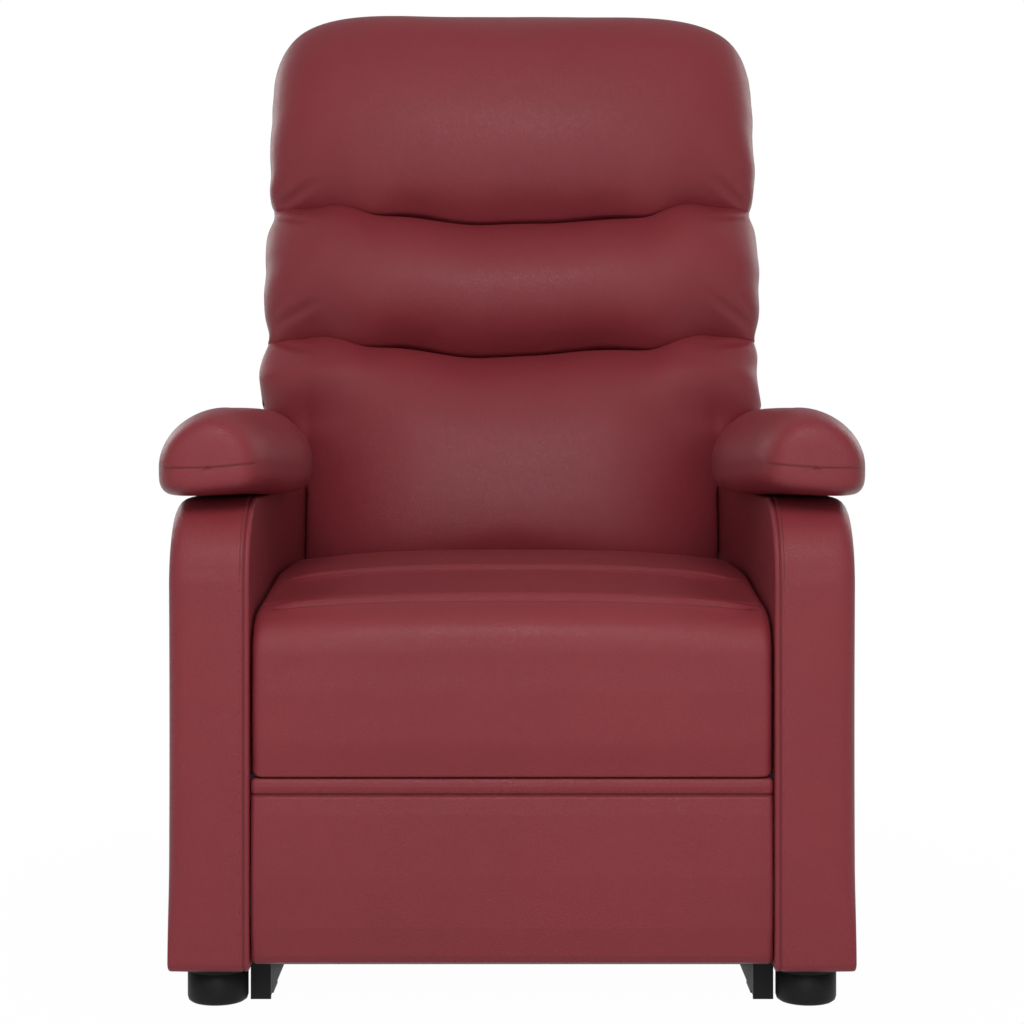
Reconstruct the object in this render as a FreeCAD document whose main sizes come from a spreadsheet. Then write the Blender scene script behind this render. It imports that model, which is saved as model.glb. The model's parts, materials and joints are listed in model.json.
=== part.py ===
import FreeCAD, Part
import math
import os

import Sketcher

# Lift recliner chair, in millimetres.
# +Z is up and the chair faces -Y. The origin is on the floor, under the middle of the chair.
# The rest pose is the upright seat: feet on the floor, footrest closed, back raised.

doc = FreeCAD.newDocument("LiftReclinerChair")
sheet = doc.addObject("Spreadsheet::Sheet", "Dim")

# Driving dimensions: name, value and what it measures.
DIMENSIONS = [
    ("chair_depth", 920, "arm fronts to the rearmost point of the back"),
    ("seat_width", 510, "between the inner faces of the arms"),
    ("arm_thickness", 80, "one arm, inner to outer face"),
    ("arm_length", 695, "front to rear"),
    ("arm_top", 497, "top of the arm box, under its pad"),
    ("arm_front_radius", 76, "roll of the arm's front top corner"),
    ("arm_edge_radius", 13, "soft outer edge of the arm"),
    ("arm_pad_width", 150, "at its seam"),
    ("arm_pad_height", 90, "pad above the arm box"),
    ("arm_pad_seam", 32, "seam above the pad's base"),
    ("pad_taper", 55, "inner side of the pad drawn in beside the back"),
    ("pad_taper_start", -150, "start of the pad's taper, from the origin"),
    ("pad_taper_end", 15, "end of the pad's taper, from the origin"),
    ("foot_diameter", 60, "round foot"),
    ("foot_height", 38, "floor to the arm's underside"),
    ("foot_inset", 45, "foot axis behind the arm's front and before its rear"),
    ("lip_bottom", 226, "lower edge of the seat's front face"),
    ("deck_height", 300, "underside of the seat cushion"),
    ("seat_crown", 421, "highest line of the seat cushion"),
    ("seat_tuck", 40, "seat cushion's rear end, in front of the pillows' foot"),
    ("roll_start", 98, "front roll of the seat, behind its front"),
    ("channel_place", 242, "seat channel behind the front"),
    ("footrest_bottom", 43, "lower edge of the footrest panel"),
    ("footrest_top", 222, "upper edge of the footrest panel"),
    ("footrest_band", 15, "narrow band above the panel's seam"),
    ("footrest_padding", 28, "thickness of the footrest's pad"),
    ("board_thickness", 12, "plywood of the footrest"),
    ("back_width", 612, "above the arms"),
    ("back_height", 855, "along the back's own slope"),
    ("back_tilt", 16, "degrees from upright"),
    ("back_foot_y", 215, "rear lower edge of the back"),
    ("back_foot_z", 235, "rear lower edge of the back"),
    ("back_shell", 75, "depth of the outer back shell"),
    ("shell_wall", 14, "outer back panel"),
    ("border_wall", 12, "border strips of the back"),
    ("back_step", 350, "start of the wide part, along the slope"),
    ("back_low_edge", 100, "lower edge of the lower cushion, along the slope"),
    ("head_top", 850, "top of the head pillow, along the slope"),
    ("pillow_crown", 24, "crown of the pillows"),
    ("crease_low", 388, "between lower cushion and lumbar pillow, along the slope"),
    ("crease_high", 559, "between lumbar and head pillow, along the slope"),
    ("pillow_depth", 112, "pillows in front of the shell, before their crown"),
    ("plate", 4, "steel plate of links and brackets"),
    ("layer", 7, "side step from one link layer to the next"),
    ("link_half", 11, "half width of a footrest link"),
    ("lift_link_half", 14, "half width of a lift link"),
    ("pin_radius", 5, "pivot pins"),
    ("pin_play", 0.08, "running clearance in a pivot hole"),
    ("tube_radius", 12.5, "round cross tubes"),
    ("tube_wall", 2, "steel tube wall"),
    ("rail_width", 20, "base side rail"),
    ("rail_height", 32, "base side rail"),
    ("glide", 3, "pad under the base rail"),
    ("base_front", 50, "front end of the base behind the arm fronts"),
    ("base_rear", 380, "rear end of the base, from the origin"),
    ("cross_square", 25, "square cross tube of the base"),
    ("lift_front_y", -353.7, "front lift pivot on the base"),
    ("lift_front_z", 70.9, "front lift pivot on the base"),
    ("lift_rear_y", -279.3, "rear lift pivot on the base"),
    ("lift_rear_z", 79.8, "rear lift pivot on the base"),
    ("hang_front_y", -118.5, "front lift pivot on the chair"),
    ("hang_front_z", 53, "front lift pivot on the chair"),
    ("hang_rear_y", 195.5, "rear lift pivot on the chair"),
    ("hang_rear_z", 50.8, "rear lift pivot on the chair"),
    ("lift_play", 1.6, "clearance of the lift link's open pivot"),
    ("lift_crank", 80, "crank arm of the lift tube"),
    ("lift_crank_angle", 72, "crank arm at rest, degrees above the rear"),
    ("lift_motor_y", 190, "lift actuator's rear pivot"),
    ("lift_motor_z", 60, "lift actuator's rear pivot"),
    ("foot_pivot_y", -250, "footrest's front link on the side plate"),
    ("foot_pivot_z", 276, "footrest's front link on the side plate"),
    ("front_link", 186, "front link, pivot to scissor joint"),
    ("link_reach", 52, "scissor joint to outer link"),
    ("front_link_angle", 60, "front link below the rear horizontal"),
    ("bracket_y", 60, "upper bracket joint behind the arm fronts"),
    ("bracket_z", 205, "upper bracket joint"),
    ("tail_link", 105, "scissor joint to the rear link"),
    ("crank_radius", 31, "footrest crank for the drive link"),
    ("crank_angle", 46, "footrest crank below the rear horizontal"),
    ("back_pivot_y", 150, "hinge of the back"),
    ("back_pivot_z", 250, "hinge of the back"),
    ("back_arm", 107, "drive tube below the back's hinge"),
    ("back_arm_angle", 71, "drive tube below the rear horizontal"),
    ("recline_crank", 60, "recline pin below the back's hinge"),
    ("drive_arm", 66, "drive link's pin below the back's hinge"),
    ("drive_arm_angle", 72, "drive link's pin below the rear horizontal"),
    ("recline_motor_y", -352, "recline actuator's front pivot"),
    ("recline_motor_z", 200, "recline actuator's front pivot"),
    ("chassis_tube_z", 262, "cross tubes of the chassis"),
    ("recline_tube_y", -368, "cross tube of the recline actuator"),
    ("recline_tube_z", 240, "cross tube of the recline actuator"),
    ("slot_play", 3.1, "clearance in the drive link's round window"),
    ("window_shift", 0.45, "window nearer to the back than the resting pin"),
    ("window_drop", 2.7, "window below the resting pin"),
    ("open_play", 0.15, "clearance of the footrest's open pivots"),
    ("rod_play", 3.4, "clearance in the rod's eye"),
    ("actuator_side", 55, "actuators beside the middle plane"),
    ("actuator_tube", 17, "radius of an actuator's outer tube"),
    ("actuator_rod", 10, "radius of an actuator's rod"),
    ("rod_end", 13, "radius of the rod's eye"),
    ("housing_length", 84, "gear housing"),
    ("housing_width", 46, "gear housing"),
    ("motor_radius", 23, "motor can"),
    ("motor_length", 88, "motor can"),
    ("control_width", 120, "control box"),
    ("control_height", 34, "control box"),
    ("pocket_y", -215, "front edge of the side pocket"),
    ("pocket_low", 280, "bottom of the side pocket"),
    ("pocket_width", 150, "side pocket"),
    ("pocket_height", 120, "side pocket"),
    ("pocket_depth", 17, "side pocket"),
    ("handset_y", -168, "front edge of the handset"),
    ("handset_width", 52, "handset"),
    ("handset_height", 160, "handset"),
    ("wood", 18, "seat frame rails"),
    ("soft_gap", 0.6, "between upholstered pieces"),
]

for row, (alias, value, meaning) in enumerate(DIMENSIONS, start=1):
    sheet.set(f"A{row}", alias)
    sheet.set(f"B{row}", str(value))
    sheet.set(f"C{row}", meaning)
    sheet.setAlias(f"B{row}", alias)
doc.recompute()

NODES = []


def dim(text):
    """A formula in which each driving dimension is written by its plain name."""
    words = text.replace("(", " ( ").replace(")", " ) ").replace("*", " * ").replace("/", " / ")
    words = words.replace(";", " ; ").split()
    names = {alias for alias, _, _ in DIMENSIONS}
    text = " ".join("Dim." + word if word in names else word for word in words)
    for name in ("sqrt", "atan2", "cos", "sin"):
        text = text.replace(name + " (", name + "(")
    return text


def number(text):
    """The value of a formula."""
    result = sheet.evalExpression(dim(text))
    return float(getattr(result, "Value", result))


def bind(thing, path, text):
    """Ties one size of an object to a formula."""
    thing.setExpression(path, dim(text))


def plus(a, b):
    return f"( {a} ) + ( {b} )"


def minus(a, b):
    return f"( {a} ) - ( {b} )"


def keep(thing, node):
    """Names a finished sub-part."""
    thing.Label = node
    NODES.append(thing)
    return thing


def new_body(name):
    return doc.addObject("PartDesign::Body", name)


def origin_plane(body, role):
    return next(feature for feature in body.Origin.OriginFeatures if feature.Role == role)


def pin_down(sketch, geometry, vertex, point):
    """Ties a vertex to its two formulas, measured from the sketch's origin."""
    for kind, text in zip(("DistanceX", "DistanceY"), point):
        constraint = Sketcher.Constraint(kind, -1, 1, geometry, vertex, number(text))
        index = sketch.addConstraint(constraint)
        sketch.setExpression(f"Constraints[{index}]", dim(text))


def spot(point):
    return FreeCAD.Vector(number(point[0]), number(point[1]), 0)


def arc_through(start, middle, end):
    """An arc that runs anticlockwise, and whether that is from start to end."""
    a, b, c = spot(start), spot(middle), spot(end)
    curve = Part.Arc(a, b, c).toShape().Curve
    centre, radius = curve.Center, curve.Radius
    first = math.atan2(a.y - centre.y, a.x - centre.x)
    last = math.atan2(c.y - centre.y, c.x - centre.x)
    forward = (b - a).cross(c - b).z > 0
    if not forward:
        first, last = last, first
    base = Part.Circle(centre, FreeCAD.Vector(0, 0, 1), radius)
    return Part.ArcOfCircle(base, first, last), forward


def draw_loop(sketch, corners):
    """A closed outline: each corner is (x, y), or (x, y, (u, v)) where an arc through (u, v) follows."""
    ends = []
    for index, corner in enumerate(corners):
        start, end = corner[:2], corners[(index + 1) % len(corners)][:2]
        if len(corner) == 2:
            geometry = sketch.addGeometry(Part.LineSegment(spot(start), spot(end)), False)
            ends.append((geometry, 1, 2))
            continue
        arc, forward = arc_through(start, corner[2], end)
        geometry = sketch.addGeometry(arc, False)
        mark = sketch.addGeometry(Part.Point(spot(corner[2])), True)
        pin_down(sketch, mark, 1, corner[2])
        sketch.addConstraint(Sketcher.Constraint("PointOnObject", mark, 1, geometry))
        ends.append((geometry, 1, 2) if forward else (geometry, 2, 1))
    for index, corner in enumerate(corners):
        before, here = ends[index - 1], ends[index]
        joint = Sketcher.Constraint("Coincident", before[0], before[2], here[0], here[1])
        sketch.addConstraint(joint)
        pin_down(sketch, here[0], here[1], corner[:2])


def draw_circle(sketch, centre, radius):
    circle = Part.Circle(spot(centre), FreeCAD.Vector(0, 0, 1), number(radius))
    geometry = sketch.addGeometry(circle, False)
    pin_down(sketch, geometry, 3, centre)
    index = sketch.addConstraint(Sketcher.Constraint("Radius", geometry, number(radius)))
    sketch.setExpression(f"Constraints[{index}]", dim(radius))


def new_sketch(body, role, offset, loops=(), circles=()):
    """A sketch on one of the body's own planes, moved along the plane's normal by a formula."""
    sketch = body.newObject("Sketcher::SketchObject", body.Name + "_sketch")
    sketch.AttachmentSupport = [(origin_plane(body, role), "")]
    sketch.MapMode = "FlatFace"
    bind(sketch, "AttachmentOffset.Base.z", offset)
    for loop in loops:
        draw_loop(sketch, loop)
    for centre, radius in circles:
        draw_circle(sketch, centre, radius)
    return sketch


def pad(body, role, offset, length, loops=(), circles=()):
    """Material raised from a sketch along its plane's normal."""
    sketch = new_sketch(body, role, offset, loops, circles)
    feature = body.newObject("PartDesign::Pad", body.Name + "_pad")
    feature.Profile = sketch
    bind(feature, "Length", length)
    return feature


def pocket(body, role, offset, length, loops=(), circles=()):
    """Material taken away from a sketch along its plane's normal."""
    sketch = new_sketch(body, role, offset, loops, circles)
    feature = body.newObject("PartDesign::Pocket", body.Name + "_pocket")
    feature.Profile = sketch
    feature.Reversed = True
    bind(feature, "Length", length)
    return feature


def loft(body, role, sections):
    """Material through several sections: a list of (offset, outline)."""
    sketches = [new_sketch(body, role, offset, [outline]) for offset, outline in sections]
    feature = body.newObject("PartDesign::AdditiveLoft", body.Name + "_loft")
    feature.Profile = sketches[0]
    feature.Sections = sketches[1:]
    feature.Ruled = True
    return feature


def round_edges(body, radius, wanted):
    """Rounds the edges of the body's last feature that the test picks out."""
    doc.recompute()
    base = body.Tip
    names = [f"Edge{i}" for i, edge in enumerate(base.Shape.Edges, start=1) if wanted(edge)]
    feature = body.newObject("PartDesign::Fillet", body.Name + "_fillet")
    feature.Base = (base, names)
    bind(feature, "Radius", radius)
    return feature


def place(thing, x="0", y="0", z="0", angle=None):
    """Moves a piece, and turns it about the X axis by a formula in degrees."""
    if angle is not None:
        thing.Placement.Rotation = FreeCAD.Rotation(FreeCAD.Vector(1, 0, 0), 1)
        bind(thing, "Placement.Rotation.Angle", angle)
    for letter, text in zip("xyz", (x, y, z)):
        bind(thing, f"Placement.Base.{letter}", text)


def mirror_image(thing):
    """The same piece on the other side of the middle plane."""
    image = doc.addObject("Part::Mirroring", thing.Name + "_mirror")
    image.Source = thing
    image.Normal = FreeCAD.Vector(1, 0, 0)
    return image


def group(node, pieces):
    """Separate solids that share one node."""
    compound = doc.addObject("Part::Compound", node)
    compound.Links = pieces
    return keep(compound, node)


def pair(node, piece):
    """A piece and its mirror image in one node."""
    return group(node, [piece, mirror_image(piece)])


def box(name, low, size):
    """A block from its lowest corner and its size, all formulas."""
    block = doc.addObject("Part::Box", name)
    for path, text in zip(("Length", "Width", "Height"), size):
        bind(block, path, text)
    place(block, *low)
    return block


def rod_across(name, radius, start, length, y, z):
    """A round bar along X."""
    bar = doc.addObject("Part::Cylinder", name)
    bind(bar, "Radius", radius)
    bind(bar, "Height", length)
    bar.Placement.Rotation = FreeCAD.Rotation(FreeCAD.Vector(0, 1, 0), 90)
    for letter, text in zip("xyz", (start, y, z)):
        bind(bar, f"Placement.Base.{letter}", text)
    return bar


# Side layers of the mechanism, all as the inner face of a plate on the +X side.
INNER = "seat_width / 2"
OUTER = "seat_width / 2 + arm_thickness"
SIDE_PLATE = "seat_width / 2 - 19"
FRONT_LAYER = minus(SIDE_PLATE, "layer")
CROSS_LAYER = minus(SIDE_PLATE, "2 * layer")
DRIVE_LAYER = minus(SIDE_PLATE, "22")
CRANK_LAYER = minus(SIDE_PLATE, "28")
HANGER = "seat_width / 2 - 55"
LIFT_OUTER = plus(HANGER, "6")
LIFT_INNER = minus(HANGER, "6")
FRONT = "-( chair_depth / 2 )"
SEAT_REAR = "( back_foot_y - back_shell - pillow_depth + seat_tuck )"
ARM_REAR = plus(FRONT, "arm_length")
TUBE_BORE = "tube_radius - 1.5"
HOLE = "pin_radius + pin_play"


def span(a, b):
    """Length between two pivots."""
    dy, dz = minus(b[0], a[0]), minus(b[1], a[1])
    return f"sqrt ( ( {dy} ) * ( {dy} ) + ( {dz} ) * ( {dz} ) )"


def heading(a, b):
    """Direction from one pivot to another, degrees above +Y."""
    return f"atan2 ( {minus(b[1], a[1])} ; {minus(b[0], a[0])} )"


def along(a, b, distance):
    """The point at a distance from a towards b."""
    length = span(a, b)
    return (
        plus(a[0], f"( {minus(b[0], a[0])} ) * ( {distance} ) / {length}"),
        plus(a[1], f"( {minus(b[1], a[1])} ) * ( {distance} ) / {length}"),
    )


def polar(a, radius, degrees):
    """The point at a radius from a, degrees above +Y."""
    return (plus(a[0], f"{radius} * cos ( {degrees} )"), plus(a[1], f"{radius} * sin ( {degrees} )"))


# Pivots of the mechanism in side view, as (y, z).
FOOT_PIVOT = ("foot_pivot_y", "foot_pivot_z")
SCISSOR = polar(FOOT_PIVOT, "front_link", "-( front_link_angle )")
OUTER_JOINT = polar(FOOT_PIVOT, "( front_link + link_reach )", "-( front_link_angle )")
BRACKET_TOP = (plus(FRONT, "bracket_y"), "bracket_z")
BRACKET_LOW = polar(BRACKET_TOP, "link_reach", "-( front_link_angle )")
TAIL = along(SCISSOR, BRACKET_TOP, "-( tail_link )")
REAR_PIVOT = (
    plus("foot_pivot_y", minus(TAIL[0], SCISSOR[0])),
    plus("foot_pivot_z", minus(TAIL[1], SCISSOR[1])),
)
LIFT_FRONT = ("lift_front_y", "lift_front_z")
LIFT_REAR = ("lift_rear_y", "lift_rear_z")
HANG_FRONT = ("hang_front_y", "hang_front_z")
HANG_REAR = ("hang_rear_y", "hang_rear_z")
BACK_PIVOT = ("back_pivot_y", "back_pivot_z")
BACK_TUBE = polar(BACK_PIVOT, "back_arm", "-( back_arm_angle )")
RECLINE_PIN = polar(BACK_PIVOT, "recline_crank", "-( back_arm_angle )")
DRIVE_PIN = polar(BACK_PIVOT, "drive_arm", "-( drive_arm_angle )")
FOOT_CRANK = polar(FOOT_PIVOT, "crank_radius", "-( crank_angle )")
LIFT_PIN = polar(LIFT_REAR, "lift_crank", "lift_crank_angle")
LIFT_MOTOR = ("lift_motor_y", "lift_motor_z")
RECLINE_MOTOR = ("recline_motor_y", "recline_motor_z")


def obround(length, half):
    """The outline of a straight link from (0, 0) to (length, 0); five short cuts shape each end."""
    cuts = ((0, 1), (0.588, 0.809), (0.951, 0.309))
    end = [(plus(length, f"{x} * ( {half} )"), f"{y} * ( {half} )") for x, y in cuts]
    end_below = [(plus(length, f"{x} * ( {half} )"), f"-{y} * ( {half} )") for x, y in reversed(cuts)]
    start = [(f"-{x} * ( {half} )", f"{y} * ( {half} )") for x, y in reversed(cuts)]
    start_below = [(f"-{x} * ( {half} )", f"-{y} * ( {half} )") for x, y in cuts]
    return end + end_below + start_below + start


def rect(x_low, x_high, y_low, y_high):
    """A rectangle's outline."""
    return [(x_low, y_low), (x_high, y_low), (x_high, y_high), (x_low, y_high)]


def tube_square(y, z):
    """The square outline of a cross tube about its centre."""
    return rect(minus(y, "tube_radius"), plus(y, "tube_radius"), minus(z, "tube_radius"), plus(z, "tube_radius"))


def soft_rect(x_low, x_high, y_low, y_high, radius):
    """A rectangle's outline with round corners."""
    share = f"0.293 * {radius}"
    return [
        (plus(x_low, radius), y_low),
        (minus(x_high, radius), y_low, (minus(x_high, share), plus(y_low, share))),
        (x_high, plus(y_low, radius)),
        (x_high, minus(y_high, radius), (minus(x_high, share), minus(y_high, share))),
        (minus(x_high, radius), y_high),
        (plus(x_low, radius), y_high, (plus(x_low, share), minus(y_high, share))),
        (x_low, minus(y_high, radius)),
        (x_low, plus(y_low, radius), (plus(x_low, share), plus(y_low, share))),
    ]


def link(name, start, end, layer, half, holes):
    """A flat link with round ends. holes lists (distance from the start, radius)."""
    body = new_body(name)
    circles = [((distance, "0"), radius) for distance, radius in holes]
    pad(body, "YZ_Plane", layer, "plate", [obround(span(start, end), half)], circles)
    place(body, y=start[0], z=start[1], angle=heading(start, end))
    return body


def plate_shape(name, layer, thickness, outline, circles=()):
    """A flat plate in side view at its true place."""
    body = new_body(name)
    pad(body, "YZ_Plane", layer, thickness, [outline], circles)
    return body


def cross_tube(name, radius, reach, y, z):
    """A round tube along X, from -reach to +reach."""
    body = new_body(name)
    circles = [((y, z), radius), ((y, z), minus(radius, "tube_wall"))]
    pad(body, "YZ_Plane", f"-( {reach} )", f"2 * ( {reach} )", [], circles)
    return body


def square_tube(name, role, start, length, x_low, x_high, y_low, y_high):
    """A hollow rectangular tube along the plane's normal."""
    body = new_body(name)
    outer = rect(x_low, x_high, y_low, y_high)
    wall = "tube_wall"
    inner = rect(plus(x_low, wall), minus(x_high, wall), plus(y_low, wall), minus(y_high, wall))
    pad(body, role, start, length, [outer, inner])
    return body


def with_studs(name, plate_body, studs):
    """A plate with pivot studs welded to it. studs lists (pivot, start, length)."""
    bars = []
    for index, ((y, z), start, length) in enumerate(studs):
        bars.append(rod_across(f"{name}_stud_{index}", "pin_radius", start, length, y, z))
    return fuse(name, [plate_body] + bars)


def fuse(node, pieces):
    """Welds several pieces into one solid."""
    fused = doc.addObject("Part::MultiFuse", node)
    fused.Shapes = pieces
    return fused


# Base: the frame that stays on the floor when the chair rises.
def build_base():
    low, high = "glide", "glide + rail_height"
    rail_in = "seat_width / 2 - 16"
    front, rear = plus(FRONT, "base_front"), "base_rear"
    rail = square_tube("base_rail", "XZ_Plane", f"-( {rear} )", minus(rear, front),
                       rail_in, plus(rail_in, "rail_width"), low, high)
    pair("base_rails", rail)
    caps = []
    for name, start in (("front_cap", minus(front, "4")), ("rear_cap", rear)):
        caps.append(box(name, (rail_in, start, "0"), ("rail_width", "4", high)))
    for name, start in (("front_glide", plus(front, "20")), ("rear_glide", minus(rear, "60"))):
        caps.append(box(name, (rail_in, start, "0"), ("rail_width", "40", "glide")))
    group("base_end_caps", caps + [mirror_image(cap) for cap in caps])
    tubes = []
    for name, y in (("front", "lift_front_y + 68.7"), ("middle", "lift_motor_y - 12.5"), ("rear", "base_rear - 60")):
        tube = square_tube("base_tube_" + name, "YZ_Plane", f"-( {rail_in} )", f"2 * ( {rail_in} )",
                           y, plus(y, "cross_square"), low, plus(low, "cross_square"))
        tubes.append(tube)
    group("base_cross_tubes", tubes)
    top = "glide + cross_square"
    outline = [
        ("lift_front_y + 68.7", top),
        ("lift_front_y + 68.7 + cross_square", top),
        ("lift_rear_y + 16", "lift_rear_z", ("lift_rear_y + 11.3", "lift_rear_z + 11.3")),
        ("lift_rear_y", "lift_rear_z + 16"),
        ("lift_front_y", "lift_front_z + 16", ("lift_front_y - 11.3", "lift_front_z + 11.3")),
        ("lift_front_y - 16", "lift_front_z"),
        ("lift_front_y - 6", "lift_front_z - 16"),
    ]
    bracket = plate_shape("lift_bracket", HANGER, "plate", outline)
    studs = [(LIFT_FRONT, plus(HANGER, "2"), "plate + 6"), (LIFT_REAR, minus(LIFT_INNER, "1"), "9")]
    pair("lift_base_brackets", with_studs("lift_bracket_welded", bracket, studs))
    pieces = []
    outline = [
        ("lift_motor_y - 12.5", top),
        ("lift_motor_y + 12.5", top),
        ("lift_motor_y + 12.5", "lift_motor_z", ("lift_motor_y", "lift_motor_z + 12.5")),
        ("lift_motor_y - 12.5", "lift_motor_z"),
    ]
    for index, start in enumerate(("-( actuator_side ) - 15", "-( actuator_side ) + 11")):
        pieces.append(plate_shape(f"clevis_ear_{index}", start, "plate", outline))
    pieces.append(rod_across("clevis_pin", "pin_radius", "-( actuator_side ) - 12", "24", *LIFT_MOTOR))
    keep(fuse("clevis_fused", pieces), "lift_motor_clevis")


# Lift linkage: two links on each side between the base and the chair.
def build_lift():
    rear = link("lift_rear_link", LIFT_REAR, HANG_REAR, LIFT_INNER, "lift_link_half",
                [("0", HOLE), (span(LIFT_REAR, HANG_REAR), HOLE)])
    pair("lift_rear_links", rear)
    front = link("lift_front_link", LIFT_FRONT, HANG_FRONT, LIFT_OUTER, "lift_link_half",
                 [("0", HOLE), (span(LIFT_FRONT, HANG_FRONT), "pin_radius + lift_play")])
    pair("lift_front_links", front)
    tube = cross_tube("lift_tube", "tube_radius", LIFT_INNER, *LIFT_REAR)
    pieces = [tube]
    for index, start in enumerate(("-( actuator_side ) - 15", "-( actuator_side ) + 11")):
        arm = new_body(f"lift_crank_{index}")
        pad(arm, "YZ_Plane", start, "plate", [obround("lift_crank", "16")], [(("0", "0"), "tube_radius - 1")])
        place(arm, y=LIFT_REAR[0], z=LIFT_REAR[1], angle="lift_crank_angle")
        pieces.append(arm)
    pieces.append(rod_across("lift_crank_pin", "pin_radius", "-( actuator_side ) - 12", "24", *LIFT_PIN))
    keep(fuse("lift_tube_welded", pieces), "lift_torque_tube")


# Chassis: side plates, hangers and cross tubes that the seat, arms and links are bolted to.
def build_chassis():
    top = "deck_height - 2"
    front = "recline_tube_y - 18"
    outline = [
        (front, "recline_tube_z - 16"),
        ("foot_pivot_y + 60", "foot_pivot_z - 58"),
        ("-90", "deck_height - 92"),
        ("back_pivot_y - 52", "deck_height - 92"),
        ("back_pivot_y - 18", "back_pivot_z - 18", ("back_pivot_y + 18", "back_pivot_z - 18")),
        ("back_pivot_y + 18", "back_pivot_z + 18"),
        ("back_pivot_y - 30", top),
        (front, top),
    ]
    side = plate_shape("chassis_plate", SIDE_PLATE, "plate", outline, [(FOOT_PIVOT, plus(TUBE_BORE, "pin_play"))])
    studs = [(pivot, minus(FRONT_LAYER, "1"), "layer + 3") for pivot in (REAR_PIVOT, BACK_PIVOT)]
    pair("chassis_plates", with_studs("chassis_plate_welded", side, studs))
    outline = [
        ("hang_front_y - 14", "hang_front_z", ("hang_front_y", "hang_front_z - 14")),
        ("hang_front_y + 14", "hang_front_z"),
        ("hang_rear_y - 20", "hang_rear_z + 2"),
        ("hang_rear_y", "hang_rear_z - 14", ("hang_rear_y + 14", "hang_rear_z")),
        ("hang_rear_y", "hang_rear_z + 14"),
        ("96", "112"),
        ("84", "chassis_tube_z + tube_radius + 0.5"),
        ("-84", "chassis_tube_z + tube_radius + 0.5"),
    ]
    hanger = new_body("lift_hanger")
    pad(hanger, "YZ_Plane", HANGER, "plate", [outline] + [tube_square(y, "chassis_tube_z") for y in ("-60", "60")])
    studs = [(HANG_FRONT, plus(HANGER, "2"), "plate + 6"), (HANG_REAR, minus(LIFT_INNER, "1"), "9")]
    pair("lift_hangers", with_studs("lift_hanger_welded", hanger, studs))
    tubes = []
    for name, y, z in (("front", "-60", "chassis_tube_z"), ("rear", "60", "chassis_tube_z"),
                       ("recline", "recline_tube_y", "recline_tube_z")):
        square = tube_square(y, z)
        tubes.append(square_tube("chassis_tube_" + name, "YZ_Plane", f"-( {SIDE_PLATE} )", f"2 * ( {SIDE_PLATE} )",
                                 square[0][0], square[2][0], square[0][1], square[2][1]))
    group("chassis_cross_tubes", tubes[:2])
    pieces = tubes[2:]
    outline = [
        ("recline_motor_y - 11", "recline_motor_z", ("recline_motor_y", "recline_motor_z - 11")),
        ("recline_motor_y + 11", "recline_motor_z"),
        ("recline_tube_y + 8", "recline_tube_z - tube_radius + 1"),
        ("recline_tube_y - 8", "recline_tube_z - tube_radius + 1"),
    ]
    for index, start in enumerate(("actuator_side - 15", "actuator_side + 11")):
        pieces.append(plate_shape(f"recline_ear_{index}", start, "plate", outline))
    pieces.append(rod_across("recline_motor_pin", "pin_radius", "actuator_side - 12", "24", *RECLINE_MOTOR))
    keep(fuse("recline_mount_fused", pieces), "recline_motor_tube")
    body = new_body("control_box_body")
    low = "chassis_tube_z - tube_radius - control_height"
    outline = soft_rect("-( control_width ) - 30", "-30", "-58", "42", "6")
    pad(body, "XY_Plane", low, "control_height", [outline])
    face = "-30 - 9"
    for y in ("-44", "-20", "4"):
        pocket(body, "YZ_Plane", face, "12", [], [((y, f"{low} + control_height / 2"), "5.5")])
    pocket(body, "YZ_Plane", face, "12", [rect("20", "34", f"{low} + 10", f"{low} + 22")])
    keep(body, "control_box")


# Seat frame: wooden rails on the chassis, and the springs between them.
def build_seat():
    rail_in = minus(INNER, "15")
    top = "deck_height - soft_gap"
    side = box("seat_side", (rail_in, plus(FRONT, "64"), minus(top, "63")), ("14.6", "530", "63"))
    pair("seat_side_rails", side)
    front = box("seat_front", (f"-( {INNER} ) + 0.4", plus(FRONT, "46"), "lip_bottom"),
                ("seat_width - 0.8", "wood", minus(top, "lip_bottom")))
    half = minus(SIDE_PLATE, "0.4")
    low = "chassis_tube_z + tube_radius + 0.9"
    rear = box("seat_rear", (f"-( {half} )", minus(SEAT_REAR, "12"), low),
               (f"2 * ( {half} )", "wood", minus(top, low)))
    group("seat_cross_rails", [front, rear])
    group("seat_springs", [zigzag_spring(f"spring_{i}", x) for i, x in enumerate((-170, -60, 60, 170))])
    body = new_body("seat_cushion_body")
    half = minus(INNER, "1")
    loft(body, "YZ_Plane", spread(half, [(1, "14"), (0.88, "2"), (0.4, "0")], seat_outline))
    keep(body, "seat_cushion")


def spread(half, shares, outline):
    """Sections from -half to +half; each share of half takes the outline with its own measures."""
    sections = []
    for share, *measures in shares:
        sections.append((f"-{share} * ( {half} )", outline(*measures)))
    for share, *measures in reversed(shares):
        sections.append((f"{share} * ( {half} )", outline(*measures)))
    return sections


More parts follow.
